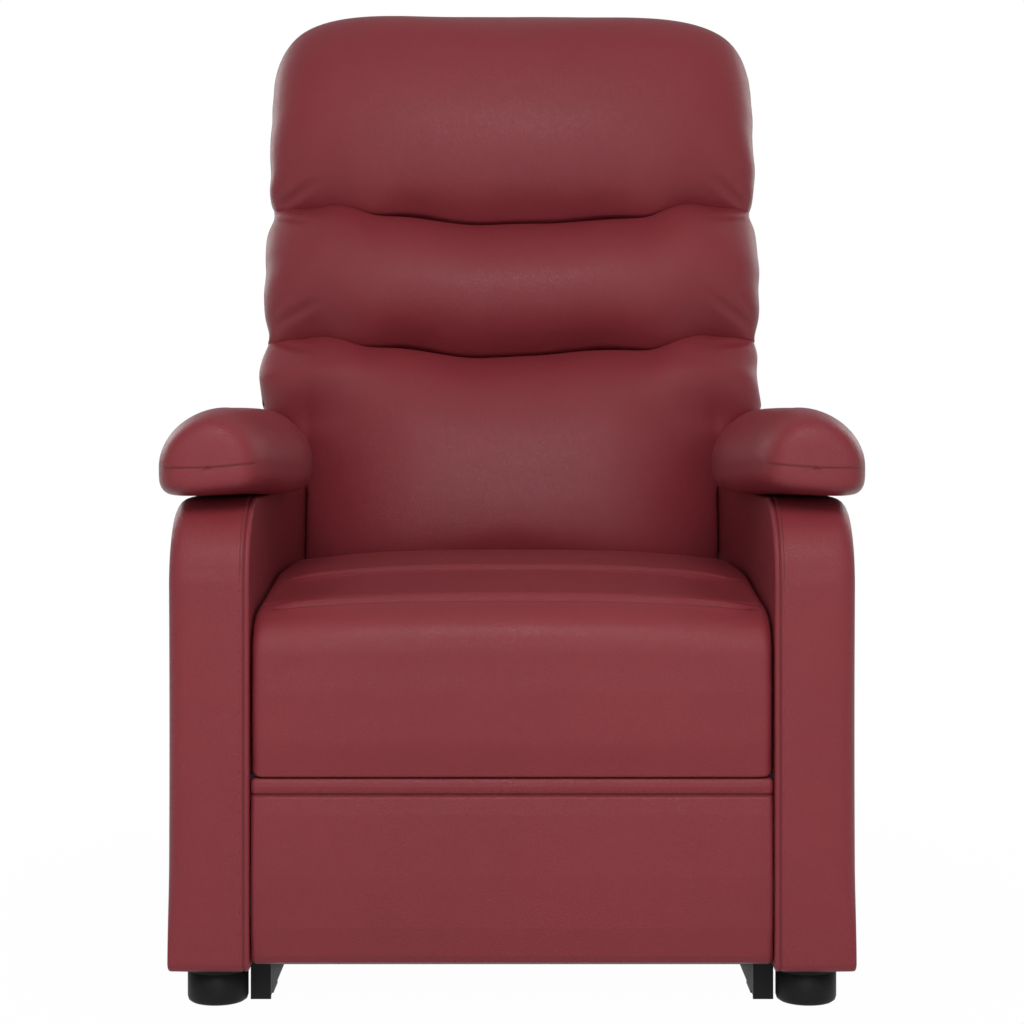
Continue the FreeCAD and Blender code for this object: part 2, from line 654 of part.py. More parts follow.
def seat_outline(drop):
    """The seat in side view: crown, channel, front roll and front face. drop lowers it at its sides."""
    front = plus(FRONT, f"4 + 0.3 * {drop}")
    roll = plus(FRONT, "roll_start")
    channel = plus(FRONT, "channel_place")
    top = f"seat_crown - {drop}"
    lip = plus(FRONT, "46 - soft_gap")
    return [
        (lip, "lip_bottom + 1"),
        (lip, "deck_height"),
        (SEAT_REAR, "deck_height"),
        (SEAT_REAR, minus(top, "16")),
        (minus(SEAT_REAR, "14"), minus(top, "3"), (f"( {SEAT_REAR} + {channel} ) / 2", top)),
        (channel, minus(top, "7"), (f"( {channel} + {roll} ) / 2", minus(top, "6"))),
        (roll, minus(top, "16"), (plus(FRONT, "30"), minus(top, "46"))),
        (front, minus(top, "92")),
        (front, "lip_bottom + 1"),
    ]


def zigzag_spring(name, centre):
    """A flat serpentine spring from the front rail to the rear rail."""
    wire, wide, count = 3.6, 18.0, 9
    start, end = number(plus(FRONT, "66")), number(minus(SEAT_REAR, "14"))
    low = number("deck_height - 9")
    pitch = (end - start) / count
    path = [FreeCAD.Vector(centre, start, low)]
    for index in range(count):
        x = centre + (wide if index % 2 else -wide)
        path.append(FreeCAD.Vector(x, start + (index + 0.15) * pitch, low))
        path.append(FreeCAD.Vector(x, start + (index + 0.85) * pitch, low))
    path.append(FreeCAD.Vector(centre, end, low))
    across = FreeCAD.Vector(0, 0, 1)
    left, right = [], []
    for index, point in enumerate(path):
        before = path[max(index - 1, 0)]
        after = path[min(index + 1, len(path) - 1)]
        first = (point - before) if index else (after - point)
        second = (after - point) if index < len(path) - 1 else (point - before)
        first, second = first.normalize(), second.normalize()
        side = across.cross(first + second).normalize()
        reach = wire / 2 / max(side.dot(across.cross(first)), 0.5)
        left.append(point + side * reach)
        right.append(point - side * reach)
    outline = Part.makePolygon(left + right[::-1] + [left[0]])
    feature = doc.addObject("Part::Feature", name)
    feature.Shape = Part.Face(outline).extrude(FreeCAD.Vector(0, 0, wire))
    return feature


# Arms: box, padded armrest, round feet, rear panel, and the pocket for the handset.
def build_arms():
    rear = ARM_REAR
    top, radius = "arm_top", "arm_front_radius"
    outline = [
        (plus(FRONT, "8"), "foot_height"),
        (minus(rear, "8"), "foot_height", (minus(rear, "2.4"), "foot_height + 2.4")),
        (rear, "foot_height + 8"),
        (rear, minus(top, "20"), (minus(rear, "5.9"), minus(top, "5.9"))),
        (minus(rear, "20"), top),
        (plus(FRONT, radius), top, (plus(FRONT, f"0.293 * {radius}"), minus(top, f"0.293 * {radius}"))),
        (FRONT, minus(top, radius)),
        (FRONT, "foot_height + 8", (plus(FRONT, "2.4"), "foot_height + 2.4")),
    ]
    body = new_body("arm_box")
    pad(body, "YZ_Plane", INNER, "arm_thickness", [outline])
    outer = number(OUTER)
    round_edges(body, "arm_edge_radius", lambda edge: abs(edge.BoundBox.XMin - outer) < 0.01)
    keep(body, "arm_panel_left")
    keep(mirror_image(body), "arm_panel_right")
    pad_body = new_body("arm_pad_body")
    front, back = minus(FRONT, "2"), minus(rear, "7")
    sections = [
        (f"-( {back} )", pad_outline("0.84", "0.76")),
        (f"-( {minus(back, '16')} )", pad_outline("0.96", "0.94")),
        (f"-( {minus(back, '60')} )", pad_outline("1", "1")),
        (f"-( {plus(front, '60')} )", pad_outline("1", "1")),
        (f"-( {plus(front, '16')} )", pad_outline("0.96", "0.93")),
        (f"-( {front} )", pad_outline("0.84", "0.74")),
    ]
    loft(pad_body, "XZ_Plane", sections)
    far = plus(INNER, "arm_thickness / 2 - 16 - arm_pad_width / 2")
    taper = [
        (minus(far, "20"), "pad_taper_start - 60"),
        (far, "pad_taper_start - 60", (plus(far, "0.62 * pad_taper"), "( pad_taper_start + pad_taper_end ) / 2")),
        (plus(far, "pad_taper"), "pad_taper_end"),
        (plus(far, "pad_taper"), plus(SEAT_REAR, "400")),
        (minus(far, "20"), plus(SEAT_REAR, "400")),
    ]
    pocket(pad_body, "XY_Plane", "arm_top - 10", "arm_pad_height + 40", [taper])
    keep(pad_body, "arm_pad_left")
    keep(mirror_image(pad_body), "arm_pad_right")
    feet = []
    for name, y in (("foot_front", plus(FRONT, "foot_inset")), ("foot_rear", minus(rear, "foot_inset"))):
        foot = doc.addObject("Part::Cylinder", name)
        bind(foot, "Radius", "foot_diameter / 2")
        bind(foot, "Height", "foot_height")
        place(foot, plus(INNER, "arm_thickness / 2 - 4"), y, "0")
        feet += [foot, mirror_image(foot)]
    group("feet", feet)
    panel = box("rear_panel_board", (f"-( {INNER} )", minus(rear, "16"), "60"), ("seat_width", "12", "105"))
    keep(panel, "rear_panel")
    body = new_body("side_pocket_body")
    low, high, wall = "pocket_low", "pocket_low + pocket_height", "1.8"
    deep = f"-( {OUTER} ) - pocket_depth"
    pad(body, "YZ_Plane", deep, "pocket_depth", [soft_rect("pocket_y", "pocket_y + pocket_width", low, high, "8")])
    inner = soft_rect(plus("pocket_y", wall), f"pocket_y + pocket_width - {wall}", plus(low, wall),
                      f"{high} + 12", "7")
    pocket(body, "YZ_Plane", plus(deep, wall), "pocket_depth", [inner])
    keep(body, "side_pocket")


def pad_outline(wide, tall):
    """The armrest's section: flat base, seam at its widest, round crown."""
    centre = plus(INNER, "arm_thickness / 2 - 16")
    half = f"( arm_pad_width / 2 ) * {wide}"
    base = "arm_top + soft_gap"
    seam = plus(base, "arm_pad_seam")
    top = plus(base, f"arm_pad_height * {tall}")

    def at(share):
        return plus(centre, f"{share} * {half}")

    side = [(0.62, base), (0.9, plus(base, "11")), (1, seam)]
    for share, rise in ((0.95, 0.3), (0.84, 0.62), (0.66, 0.84), (0.36, 0.96), (0.1, 1)):
        side.append((share, f"( {seam} ) + {rise} * ( {minus(top, seam)} )"))
    return [(at(share), z) for share, z in side] + [(at(-share), z) for share, z in reversed(side)]


# Handset: two shells around a board, with one button to raise and one to lower.
def build_handset():
    side = f"-( {OUTER} )"
    low = "pocket_low + 2.2"
    high = plus(low, "handset_height")
    left, right = "handset_y", "handset_y + handset_width"
    outer = soft_rect(left, right, low, high, "7")
    inner = soft_rect(plus(left, "2"), minus(right, "2"), plus(low, "2"), minus(high, "2"), "5")
    spots = [("handset_y + 0.26 * handset_width", minus(high, "20")),
             ("handset_y + 0.74 * handset_width", minus(high, "20"))]
    body = new_body("handset_front")
    start = minus(side, "14.5")
    pad(body, "YZ_Plane", start, "6.5", [outer])
    pocket(body, "YZ_Plane", plus(start, "2"), "5", [inner])
    pocket(body, "YZ_Plane", minus(start, "1"), "4", [], [(place_at, "6.8") for place_at in spots])
    keep(body, "handset_front_shell")
    body = new_body("handset_rear")
    pad(body, "YZ_Plane", minus(side, "8"), "6.5", [outer])
    pocket(body, "YZ_Plane", minus(side, "9"), "5.5", [inner])
    keep(body, "handset_rear_shell")
    board = box("board_plate", (minus(side, "8.6"), plus(left, "2.4"), plus(low, "8")),
                ("1.2", "handset_width - 4.8", "handset_height - 16"))
    keep(board, "handset_board")
    for node, (y, z) in zip(("raise_button", "lower_button"), spots):
        keep(rod_across(node + "_stem", "6.5", minus(side, "16.3"), "5.5", y, z), node)


# Footrest: scissor links on both sides carry the padded board.
def build_footrest():
    front = new_body("front_link")
    holes = [(("front_link", "0"), HOLE), (("front_link + link_reach", "0"), HOLE)]
    bore = [(("0", "0"), TUBE_BORE)]
    pad(front, "YZ_Plane", FRONT_LAYER, "plate", [obround("front_link + link_reach", "link_half")], holes)
    pad(front, "YZ_Plane", FRONT_LAYER, "plate", [], [(("0", "0"), "tube_radius + 5")])
    pocket(front, "YZ_Plane", minus(FRONT_LAYER, "1"), "plate + 2", [], bore)
    place(front, y=FOOT_PIVOT[0], z=FOOT_PIVOT[1], angle="-( front_link_angle )")
    pair("footrest_front_links", front)
    tube = cross_tube("footrest_tube", TUBE_BORE, plus(SIDE_PLATE, "plate"), *FOOT_PIVOT)
    arm = new_body("footrest_crank")
    pad(arm, "YZ_Plane", CRANK_LAYER, "plate", [obround("crank_radius", "16")], [(("0", "0"), "tube_radius - 3")])
    place(arm, y=FOOT_PIVOT[0], z=FOOT_PIVOT[1], angle="-( crank_angle )")
    pin = rod_across("footrest_crank_pin", "pin_radius", plus(CRANK_LAYER, "2"), "plate + 6", *FOOT_CRANK)
    pieces = [tube, arm, pin, mirror_image(arm), mirror_image(pin)]
    keep(fuse("footrest_tube_welded", pieces), "footrest_torque_tube")
    rear = link("rear_link", REAR_PIVOT, TAIL, FRONT_LAYER, "link_half",
                [("0", HOLE), ("front_link", "pin_radius + open_play")])
    pair("footrest_rear_links", rear)
    cross = link("cross_link", TAIL, BRACKET_TOP, CROSS_LAYER, "link_half", [])
    studs = [(pivot, plus(CROSS_LAYER, "2"), "layer + 3") for pivot in (TAIL, SCISSOR, BRACKET_TOP)]
    pair("footrest_cross_links", with_studs("cross_link_welded", cross, studs))
    outer = link("outer_link", OUTER_JOINT, BRACKET_LOW, CROSS_LAYER, "link_half", [])
    studs = [(pivot, plus(CROSS_LAYER, "2"), "layer + 3") for pivot in (OUTER_JOINT, BRACKET_LOW)]
    pair("footrest_outer_links", with_studs("outer_link_welded", outer, studs))
    bracket = new_body("footrest_bracket")
    board_back = plus(FRONT, "footrest_padding + board_thickness")
    low, high = minus(BRACKET_LOW[1], "34"), plus(BRACKET_TOP[1], "12")
    outline = [
        (board_back, low),
        (plus(board_back, "8"), low),
        (plus(BRACKET_LOW[0], "12"), minus(BRACKET_LOW[1], "9")),
        (plus(BRACKET_TOP[0], "14"), plus(BRACKET_TOP[1], "4")),
        (plus(BRACKET_TOP[0], "4"), high),
        (board_back, high),
    ]
    holes = [(BRACKET_TOP, HOLE), (BRACKET_LOW, "pin_radius + open_play")]
    pad(bracket, "YZ_Plane", FRONT_LAYER, "plate", [outline], holes)
    flange = rect(board_back, plus(board_back, "plate"), low, high)
    pad(bracket, "YZ_Plane", minus(FRONT_LAYER, "26"), "28", [flange])
    pair("footrest_brackets", bracket)
    half = minus(INNER, "4")
    board = box("foot_board", (f"-( {half} )", plus(FRONT, "footrest_padding"), "footrest_bottom + 5"),
                (f"2 * ( {half} )", "board_thickness", "footrest_top - footrest_bottom - 10"))
    keep(board, "footrest_board")
    body = new_body("footrest_pad_body")
    shares = [(1, "11"), (0.93, "1"), (0.4, "0")]
    loft(body, "YZ_Plane", spread(plus(half, "1"), shares, footrest_outline))
    keep(body, "footrest_pad")
    length = span(DRIVE_PIN, FOOT_CRANK)
    drive = new_body("drive_link")
    holes = [(("0", "0"), HOLE)]
    pad(drive, "YZ_Plane", DRIVE_LAYER, "plate", [obround(length, "link_half")], holes)
    window = [((minus(length, "window_shift"), "window_drop"), "pin_radius + slot_play")]
    pad(drive, "YZ_Plane", DRIVE_LAYER, "plate", [], [(window[0][0], "pin_radius + slot_play + 4")])
    pocket(drive, "YZ_Plane", minus(DRIVE_LAYER, "1"), "plate + 2", [], window)
    place(drive, y=DRIVE_PIN[0], z=DRIVE_PIN[1], angle=heading(DRIVE_PIN, FOOT_CRANK))
    pair("drive_links", drive)


def footrest_outline(thin):
    """The footrest's pad in side view: crowned panel, seam, narrow band."""
    back = plus(FRONT, "footrest_padding - soft_gap")
    front = plus(FRONT, f"3 + {thin}")
    low, high = f"footrest_bottom + 0.3 * {thin}", "footrest_top"
    seam = minus(high, "footrest_band")
    return [
        (back, low),
        (back, high),
        (plus(front, "5"), high),
        (plus(front, "1"), minus(high, "footrest_band / 2")),
        *crowned(seam, plus(low, "4"), plus(front, "3"), "6"),
        (plus(front, "5"), low),
    ]


# Back: drawn upright from its lower rear edge, then leaned by its tilt.
def lean(thing, x="0", y="0", z="0"):
    place(thing, x, f"back_foot_y + ( {y} ) * cos ( back_tilt ) + ( {z} ) * sin ( back_tilt )",
          f"back_foot_z - ( {y} ) * sin ( back_tilt ) + ( {z} ) * cos ( back_tilt )", "-( back_tilt )")
    return thing


def lean_box(name, low, size):
    """A block of the back, from its lowest corner in the upright back."""
    block = doc.addObject("Part::Box", name)
    for path, text in zip(("Length", "Width", "Height"), size):
        bind(block, path, text)
    return lean(block, *low)


def top_outline(low):
    """The top of the back in front view, with round corners."""
    half, top, corner = "back_width / 2", "back_height - 5", "70"
    return [
        (f"-( {half} )", low),
        (half, low),
        (half, minus(top, corner), (minus(half, "19"), minus(top, "19"))),
        (minus(half, corner), top),
        (f"-( {minus(half, corner)} )", top, (f"-( {minus(half, '19')} )", minus(top, "19"))),
        (f"-( {half} )", minus(top, corner)),
    ]


def shell_outline():
    """The back in front view: narrow between the arms and wide above them."""
    half, narrow = "back_width / 2", minus(INNER, "2")
    low = [(f"-( {half} )", "back_step"), (f"-( {narrow} )", "back_step"), (f"-( {narrow} )", "0")]
    low += [(narrow, "0"), (narrow, "back_step")]
    return low + top_outline("back_step")[1:]


def build_back():
    panel = new_body("outer_back_body")
    pad(panel, "XZ_Plane", "0", "shell_wall", [shell_outline()])
    keep(lean(panel), "outer_back_panel")
    half, narrow, wall = "back_width / 2", minus(INNER, "2"), "border_wall"
    rear, deep, seam = "-( back_shell )", "back_shell - shell_wall", "back_height - 80"
    strips = [
        ("border_low", (minus(narrow, wall), rear, "0"), (wall, deep, "back_step")),
        ("border_step", (minus(narrow, wall), rear, "back_step"), (plus(minus(half, narrow), wall), deep, wall)),
        ("border_high", (minus(half, wall), rear, "back_step + border_wall"),
         (wall, deep, f"{seam} - back_step - border_wall")),
    ]
    strips = [lean_box(*strip) for strip in strips]
    top = new_body("back_top_body")
    pad(top, "XZ_Plane", "shell_wall", deep, [top_outline(seam)])
    group("back_borders", strips + [mirror_image(strip) for strip in strips] + [lean(top)])
    rail_out = "seat_width / 2 - 26"
    rail_in = "seat_width / 2 - 50"
    side = lean_box("back_side", (rail_in, "-( back_shell ) + 2", "wood"),
                    ("24", "back_shell - shell_wall - 2.5", "back_height - 120"))
    pair("back_side_rails", side)
    rails = []
    for name, low in (("back_low", "40"), ("back_high", "back_height - 150")):
        rails.append(lean_box(name, (f"-( {rail_in} )", "-( back_shell ) + 22", low),
                              (f"2 * ( {rail_in} )", "24", "46")))
    group("back_cross_rails", rails)
    straps = []
    for index, low in enumerate(("130", "230", "330", "430", "530", "630")):
        place_up = f"{low} * back_height / 855"
        straps.append(lean_box(f"strap_{index}", (f"-( {rail_out} )", "-( back_shell ) + 0.3", place_up),
                               (f"2 * ( {rail_out} )", "1.6", "50")))
    group("back_webbing", straps)
    lower = [
        (0.824, "1", "back_low_edge", "crease_low - 3.6"),
        (0.4, "1.06", "back_low_edge", "crease_low - 13"),
    ]
    ear = [
        (0.826, "0.99", "back_step - 12", "crease_low - 3.5"),
        (0.94, "0.92", "back_step - 10", "crease_low - 1"),
        (1, "0.6", "back_step - 2", "crease_low - 8"),
    ]
    middle = [
        (1, "0.6", "crease_low + 3", "crease_high - 14"),
        (0.94, "0.94", "crease_low + 0.6", "crease_high - 2"),
        (0.4, "1.06", "crease_low - 11.4", "crease_high - 8"),
    ]
    head = [
        (1, "0.55", "crease_high + 8", "head_top - 120"),
        (0.955, "0.86", "crease_high + 1", "head_top - 62"),
        (0.87, "1", "crease_high + 1", "head_top - 26"),
        (0.6, "1.08", "crease_high - 3", "head_top"),
    ]
    for node, shares in (("middle_pillow", middle), ("head_pillow", head)):
        body = new_body(node + "_body")
        loft(body, "YZ_Plane", spread("back_width / 2", shares, pillow_outline))
        keep(lean(body), node)
    body = new_body("lower_cushion_body")
    loft(body, "YZ_Plane", spread("back_width / 2", lower, pillow_outline))
    wing = new_body("lower_cushion_ear")
    loft(wing, "YZ_Plane", [(f"{share} * back_width / 2", pillow_outline(*rest)) for share, *rest in ear])
    lean(wing)
    group("lower_back_cushion", [lean(body), wing, mirror_image(wing)])
    bracket = [
        polar(BACK_TUBE, "20", "-150") + (polar(BACK_TUBE, "20", "-90"),),
        polar(BACK_TUBE, "20", "-30"),
        ("back_pivot_y + 22", "back_pivot_z - 20"),
        ("back_foot_y - 12", "back_foot_z + 48"),
        ("back_foot_y + 14", "back_foot_z + 138"),
        ("back_foot_y - 20", "back_foot_z + 146"),
        ("back_foot_y - 46", "back_foot_z + 56"),
        ("back_pivot_y - 17", "back_pivot_z + 12"),
        ("back_pivot_y - 17", "back_pivot_z - 14"),
    ]
    side = plate_shape("back_bracket", FRONT_LAYER, "plate", bracket, [(BACK_PIVOT, HOLE)])
    pair("back_brackets", with_studs("back_bracket_welded", side, [(DRIVE_PIN, minus(DRIVE_LAYER, "1"), "20")]))
    pieces = [cross_tube("back_tube", "tube_radius", FRONT_LAYER, *BACK_TUBE)]
    arm_length = "back_arm - recline_crank"
    for index, start in enumerate(("actuator_side - 15", "actuator_side + 11")):
        ear = new_body(f"back_ear_{index}")
        pad(ear, "YZ_Plane", start, "plate", [obround(arm_length, "tube_radius - 0.5")], [(("0", "0"), "tube_radius - 1")])
        place(ear, y=BACK_TUBE[0], z=BACK_TUBE[1], angle="180 - back_arm_angle")
        pieces.append(ear)
    pieces.append(rod_across("recline_pin", "pin_radius", "actuator_side - 12", "24", *RECLINE_PIN))
    keep(fuse("back_tube_fused", pieces), "back_drive_tube")


def crowned(start, end, face, rise):
    """Points from start to end along a face that swells by rise in the middle."""
    points = []
    for part in (0, 0.18, 0.4, 0.6, 0.82, 1):
        swell = round(4 * part * (1 - part), 3)
        points.append((minus(face, f"{swell} * {rise}"), f"{1 - part:.2f} * ( {start} ) + {part} * ( {end} )"))
    return points


def pillow_outline(share, low, high):
    """A back pillow in side view, upright: flat rear, full crown at the front."""
    rear = "-( back_shell + soft_gap )"
    deep = f"pillow_depth * {share}"
    tall = minus(high, low)
    front = minus(rear, deep)
    return [
        (rear, low),
        (rear, high),
        (minus(rear, f"0.66 * {deep}"), minus(high, f"0.01 * ( {tall} )")),
        (minus(rear, f"0.9 * {deep}"), minus(high, f"0.07 * ( {tall} )")),
        *crowned(minus(high, f"0.22 * ( {tall} )"), plus(low, f"0.18 * ( {tall} )"), front, f"pillow_crown * {share}"),
        (minus(rear, f"0.9 * {deep}"), plus(low, f"0.05 * ( {tall} )")),
        (minus(rear, f"0.66 * {deep}"), plus(low, f"0.01 * ( {tall} )")),
    ]


# Actuators: gear housing with motor, outer tube, and the rod that slides in it.
def build_actuator(name, motor_at, pin_at, side, motor_side, tube_length, rod_start, play):
    """Drawn along +Y from the motor's pivot, then turned towards the pin that it pushes."""
    half = "housing_width / 2"
    angle = heading(motor_at, pin_at)
    body = new_body(name + "_motor_body")
    eye = obround("14", "12")
    outline = soft_rect("13", "13 + housing_length", f"-( {half} )", half, "8")
    pad(body, "YZ_Plane", minus(side, "7"), "14", [eye])
    pad(body, "YZ_Plane", minus(side, half), "housing_width", [outline])
    centre = ("13 + housing_length - motor_radius - 2", "0")
    start = minus(side, plus(half, "motor_length")) if motor_side < 0 else side
    pad(body, "YZ_Plane", start, plus(half, "motor_length"), [], [(centre, "motor_radius")])
    pocket(body, "YZ_Plane", minus(side, "8"), "16", [], [(("0", "0"), HOLE)])
    place(body, y=motor_at[0], z=motor_at[1], angle=angle)
    keep(body, name + "_motor")
    tube = new_body(name + "_tube_body")
    tube_start = "13 + housing_length"
    pad(tube, "XZ_Plane", f"-( {tube_start} + {tube_length} )", tube_length, [],
        [((side, "0"), "actuator_tube"), ((side, "0"), "actuator_rod + 0.4")])
    place(tube, y=motor_at[0], z=motor_at[1], angle=angle)
    keep(tube, name + "_outer_tube")
    rod = new_body(name + "_rod_body")
    reach = span(motor_at, pin_at)
    pad(rod, "XZ_Plane", f"-( {minus(reach, 'rod_end - 2')} )", minus(minus(reach, "rod_end - 2"), rod_start), [],
        [((side, "0"), "actuator_rod")])
    pad(rod, "YZ_Plane", minus(side, "7"), "14", [], [((reach, "0"), "rod_end")])
    pocket(rod, "YZ_Plane", minus(side, "8"), "16", [], [((reach, "0"), play)])
    place(rod, y=motor_at[0], z=motor_at[1], angle=angle)
    keep(rod, name + "_rod")


build_base()
build_lift()
build_chassis()
build_seat()
build_arms()
build_handset()
build_footrest()
build_back()
build_actuator("lift", LIFT_MOTOR, LIFT_PIN, "-( actuator_side )", 1, "300", "120", "pin_radius + rod_play")
build_actuator("recline", RECLINE_MOTOR, RECLINE_PIN, "actuator_side", -1, "340", "170", "pin_radius + rod_play")
doc.recompute()

problems = []
for thing in doc.Objects:
    if "Invalid" in thing.State or "Error" in thing.State:
        problems.append(f"{thing.Name}: {thing.State}")
for thing in NODES:
    if thing.Shape.isNull() or not thing.Shape.isValid():
        problems.append(f"{thing.Label}: shape is not sound")
if problems:
    raise RuntimeError("; ".join(problems))

os.makedirs("parts", exist_ok=True)
for thing in NODES:
    thing.Shape.exportStep(f"parts/{thing.Label}.step")
print(len(NODES), "nodes")
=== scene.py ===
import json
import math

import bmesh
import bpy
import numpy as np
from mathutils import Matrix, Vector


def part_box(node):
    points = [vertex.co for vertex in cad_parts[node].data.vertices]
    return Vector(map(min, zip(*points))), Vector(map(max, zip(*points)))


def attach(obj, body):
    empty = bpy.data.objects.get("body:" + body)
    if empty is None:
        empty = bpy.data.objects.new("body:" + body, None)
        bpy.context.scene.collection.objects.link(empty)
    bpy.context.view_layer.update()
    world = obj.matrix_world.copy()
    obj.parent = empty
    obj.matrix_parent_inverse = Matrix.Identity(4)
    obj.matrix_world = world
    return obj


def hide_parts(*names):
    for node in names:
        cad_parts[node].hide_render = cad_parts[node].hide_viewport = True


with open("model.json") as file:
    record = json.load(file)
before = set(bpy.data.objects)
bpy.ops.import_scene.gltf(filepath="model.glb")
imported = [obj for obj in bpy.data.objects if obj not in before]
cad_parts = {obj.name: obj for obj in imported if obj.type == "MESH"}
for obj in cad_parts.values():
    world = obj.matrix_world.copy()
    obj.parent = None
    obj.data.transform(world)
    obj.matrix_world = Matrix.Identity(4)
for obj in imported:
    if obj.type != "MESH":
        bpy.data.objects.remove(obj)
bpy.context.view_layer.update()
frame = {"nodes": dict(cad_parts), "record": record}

# %% [markdown]
# # A lift recliner chair in wine-red leathercloth
#
# The chair stands on a black steel base. Motors, links, rails and the wooden frame come from the
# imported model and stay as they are. What a hand would touch is made here again as upholstery:
# the three back pillows, the seat, the arms with their pads, the footrest, the back's cover, the
# pocket and the feet. Every point is in metres, with the floor at z = 0, the sitter facing -y and
# the sitter's left at +x, so each piece lands where the frame already is.


def placed(name, data):
    """A new object that holds this mesh, lamp or camera."""
    thing = bpy.data.objects.new(name, data)
    bpy.context.scene.collection.objects.link(thing)
    return thing


# %% [markdown]
# ## Camera
#
# The photograph looks at the chair from straight ahead, a little above the seat. A long lens of
# 78 mm stands 2.6 m in front of the chair's middle. The camera is level, and its shift lowers the
# picture so that the feet are in it while upright edges stay upright.

# %% Camera
LENS = 78.1
SENSOR = 36.0
CAMERA_PLACE = (0.0, -2.616, 0.574)
DOWN_SHIFT = -0.0898

camera_data = bpy.data.cameras.new("studio_camera")
camera_data.lens = LENS
camera_data.sensor_width = SENSOR
camera_data.shift_y = DOWN_SHIFT
camera = placed("studio_camera", camera_data)
camera.location = CAMERA_PLACE
camera.rotation_euler = (math.radians(90), 0, 0)
bpy.context.scene.camera = camera
print("camera", CAMERA_PLACE)

# %% [markdown]
# ## Shader arithmetic
#
# A finish is a small network of shader nodes. Written by hand, such a network is long, so a socket
# is wrapped in a class whose operators add the Math nodes: `1 - groove * 0.4` reads like the sum it
# is. Every other node comes from one method, which sets the node's options first and then fills or
# links its sockets.


# %% Signals
class Signal:
    """A shader value that takes part in Python sums; each sum adds one Math node."""

    def __init__(self, finish, socket):
        self.finish = finish
        self.socket = socket

    def join(self, operation, other=None, flip=False, clamp=False):
        pair = (other, self) if flip else (self, other)
        node = self.finish.tree.nodes.new("ShaderNodeMath")
        node.operation = operation
        node.use_clamp = clamp
        for index, term in enumerate(pair):
            if term is not None:
                self.finish.feed(node.inputs[index], term)
        return Signal(self.finish, node.outputs[0])

    def __add__(self, other):
        return self.join("ADD", other)

    def __sub__(self, other):
        return self.join("SUBTRACT", other)

    def __mul__(self, other):
        return self.join("MULTIPLY", other)

    def __truediv__(self, other):
        return self.join("DIVIDE", other)

    def __rsub__(self, other):
        return self.join("SUBTRACT", other, flip=True)

    __radd__ = __add__
    __rmul__ = __mul__

    def clamped(self):
        return self.join("ADD", 0.0, clamp=True)

    def below(self, edge, soft):
        """1 where the value is under edge, falling to 0 over soft: (edge - value) / soft."""
        return ((edge - self) / soft).clamped()


print("signals add, subtract, multiply and divide")


# %% Finishes
class Finish:
    """One material, made from its node tree."""

    def __init__(self, name):
        self.material = bpy.data.materials.new(name)
        self.material.use_nodes = True
        self.tree = self.material.node_tree
        self.tree.nodes.clear()
        self.surface = self.tree.nodes.new("ShaderNodeBsdfPrincipled")
        output = self.tree.nodes.new("ShaderNodeOutputMaterial")
        self.tree.links.new(self.surface.outputs[0], output.inputs[0])
        self.output = output

    def feed(self, socket, term):
        """Links a signal to the socket, or writes a plain number or colour on it."""
        if isinstance(term, Signal):
            self.tree.links.new(term.socket, socket)
        else:
            socket.default_value = term

    def node(self, kind, options=None, out=0, **sockets):
        """A node of this kind: options first, then its sockets by name, with _ for a space."""
        made = self.tree.nodes.new("ShaderNode" + kind)
        for key, value in (options or {}).items():
            setattr(made, key, value)
        for key, term in sockets.items():
            self.feed(made.inputs[key.replace("_", " ")], term)
        return Signal(self, made.outputs[out])

    def place(self):
        """The point on the object, in metres."""
        return self.node("TexCoord", out="Object")

    def noise(self, scale, detail=2.0, rough=0.5, where=None):
        """Cloudy values from 0 to 1, scale of them in a metre."""
        return self.node("TexNoise", Vector=where or self.place(), Scale=scale, Detail=detail,
                         Roughness=rough)

    def stretched(self, x, y, z):
        """The object's point with each axis scaled, for grain that runs one way."""
        return self.node("Mapping", Vector=self.place(), Scale=(x, y, z))

    def blend(self, share, first, second):
        """A colour between two colours."""
        made = self.tree.nodes.new("ShaderNodeMix")
        made.data_type = "RGBA"
        self.feed(made.inputs[0], share)
        self.feed(made.inputs[6], first)
        self.feed(made.inputs[7], second)
        return Signal(self, made.outputs[2])

    def relief(self, height, distance):
        """Turns a height into a bumped normal. distance is in metres."""
        self.set(Normal=self.node("Bump", Height=height, Distance=distance))

    def set(self, **sockets):
        """Feeds the surface's sockets by name and hands back the finished material."""
        for key, term in sockets.items():
            self.feed(self.surface.inputs[key.replace("_", " ")], term)
        return self.material


# %% Colours
def colour(red, green, blue):
    """A linear colour from the 0 to 255 numbers that a picture editor shows: the sRGB curve."""
    share = np.array([red, green, blue]) / 255
    linear = np.where(share > 0.04045, ((share + 0.055) / 1.055) ** 2.4, share / 12.92)
    return (*[float(v) for v in linear], 1.0)


print("mid grey is", [round(v, 3) for v in colour(128, 128, 128)])

# %% [markdown]
# ## Leathercloth
#
# The cover is a coated cloth embossed like hide. Close up it is a net of small pebbles about a
# millimetre and a half wide, with finer pores between them. A cell pattern makes the pebbles, bent
# by noise so that it doesn't look like a tiling, and the valleys between them are darkened with
# painted shade. Over the whole chair the colour drifts a little, and the high spots are slightly
# smoother, as they are where hands and legs rub. A piece may carry an attribute `seam`, its distance
# in metres to the nearest sewn line: within a few millimetres of it the surface dips, and painted
# shade darkens it there.

# %% Leathercloth
PEBBLES_PER_METRE = 640.0
EMBOSSING = 0.00022
GLOSS, MATT = 0.27, 0.34
WINE = colour(131, 48, 55)
WINE_DEEP = colour(119, 43, 50)
WINE_LIGHT = colour(137, 53, 60)
SEAM_SHADE = colour(52, 16, 20)


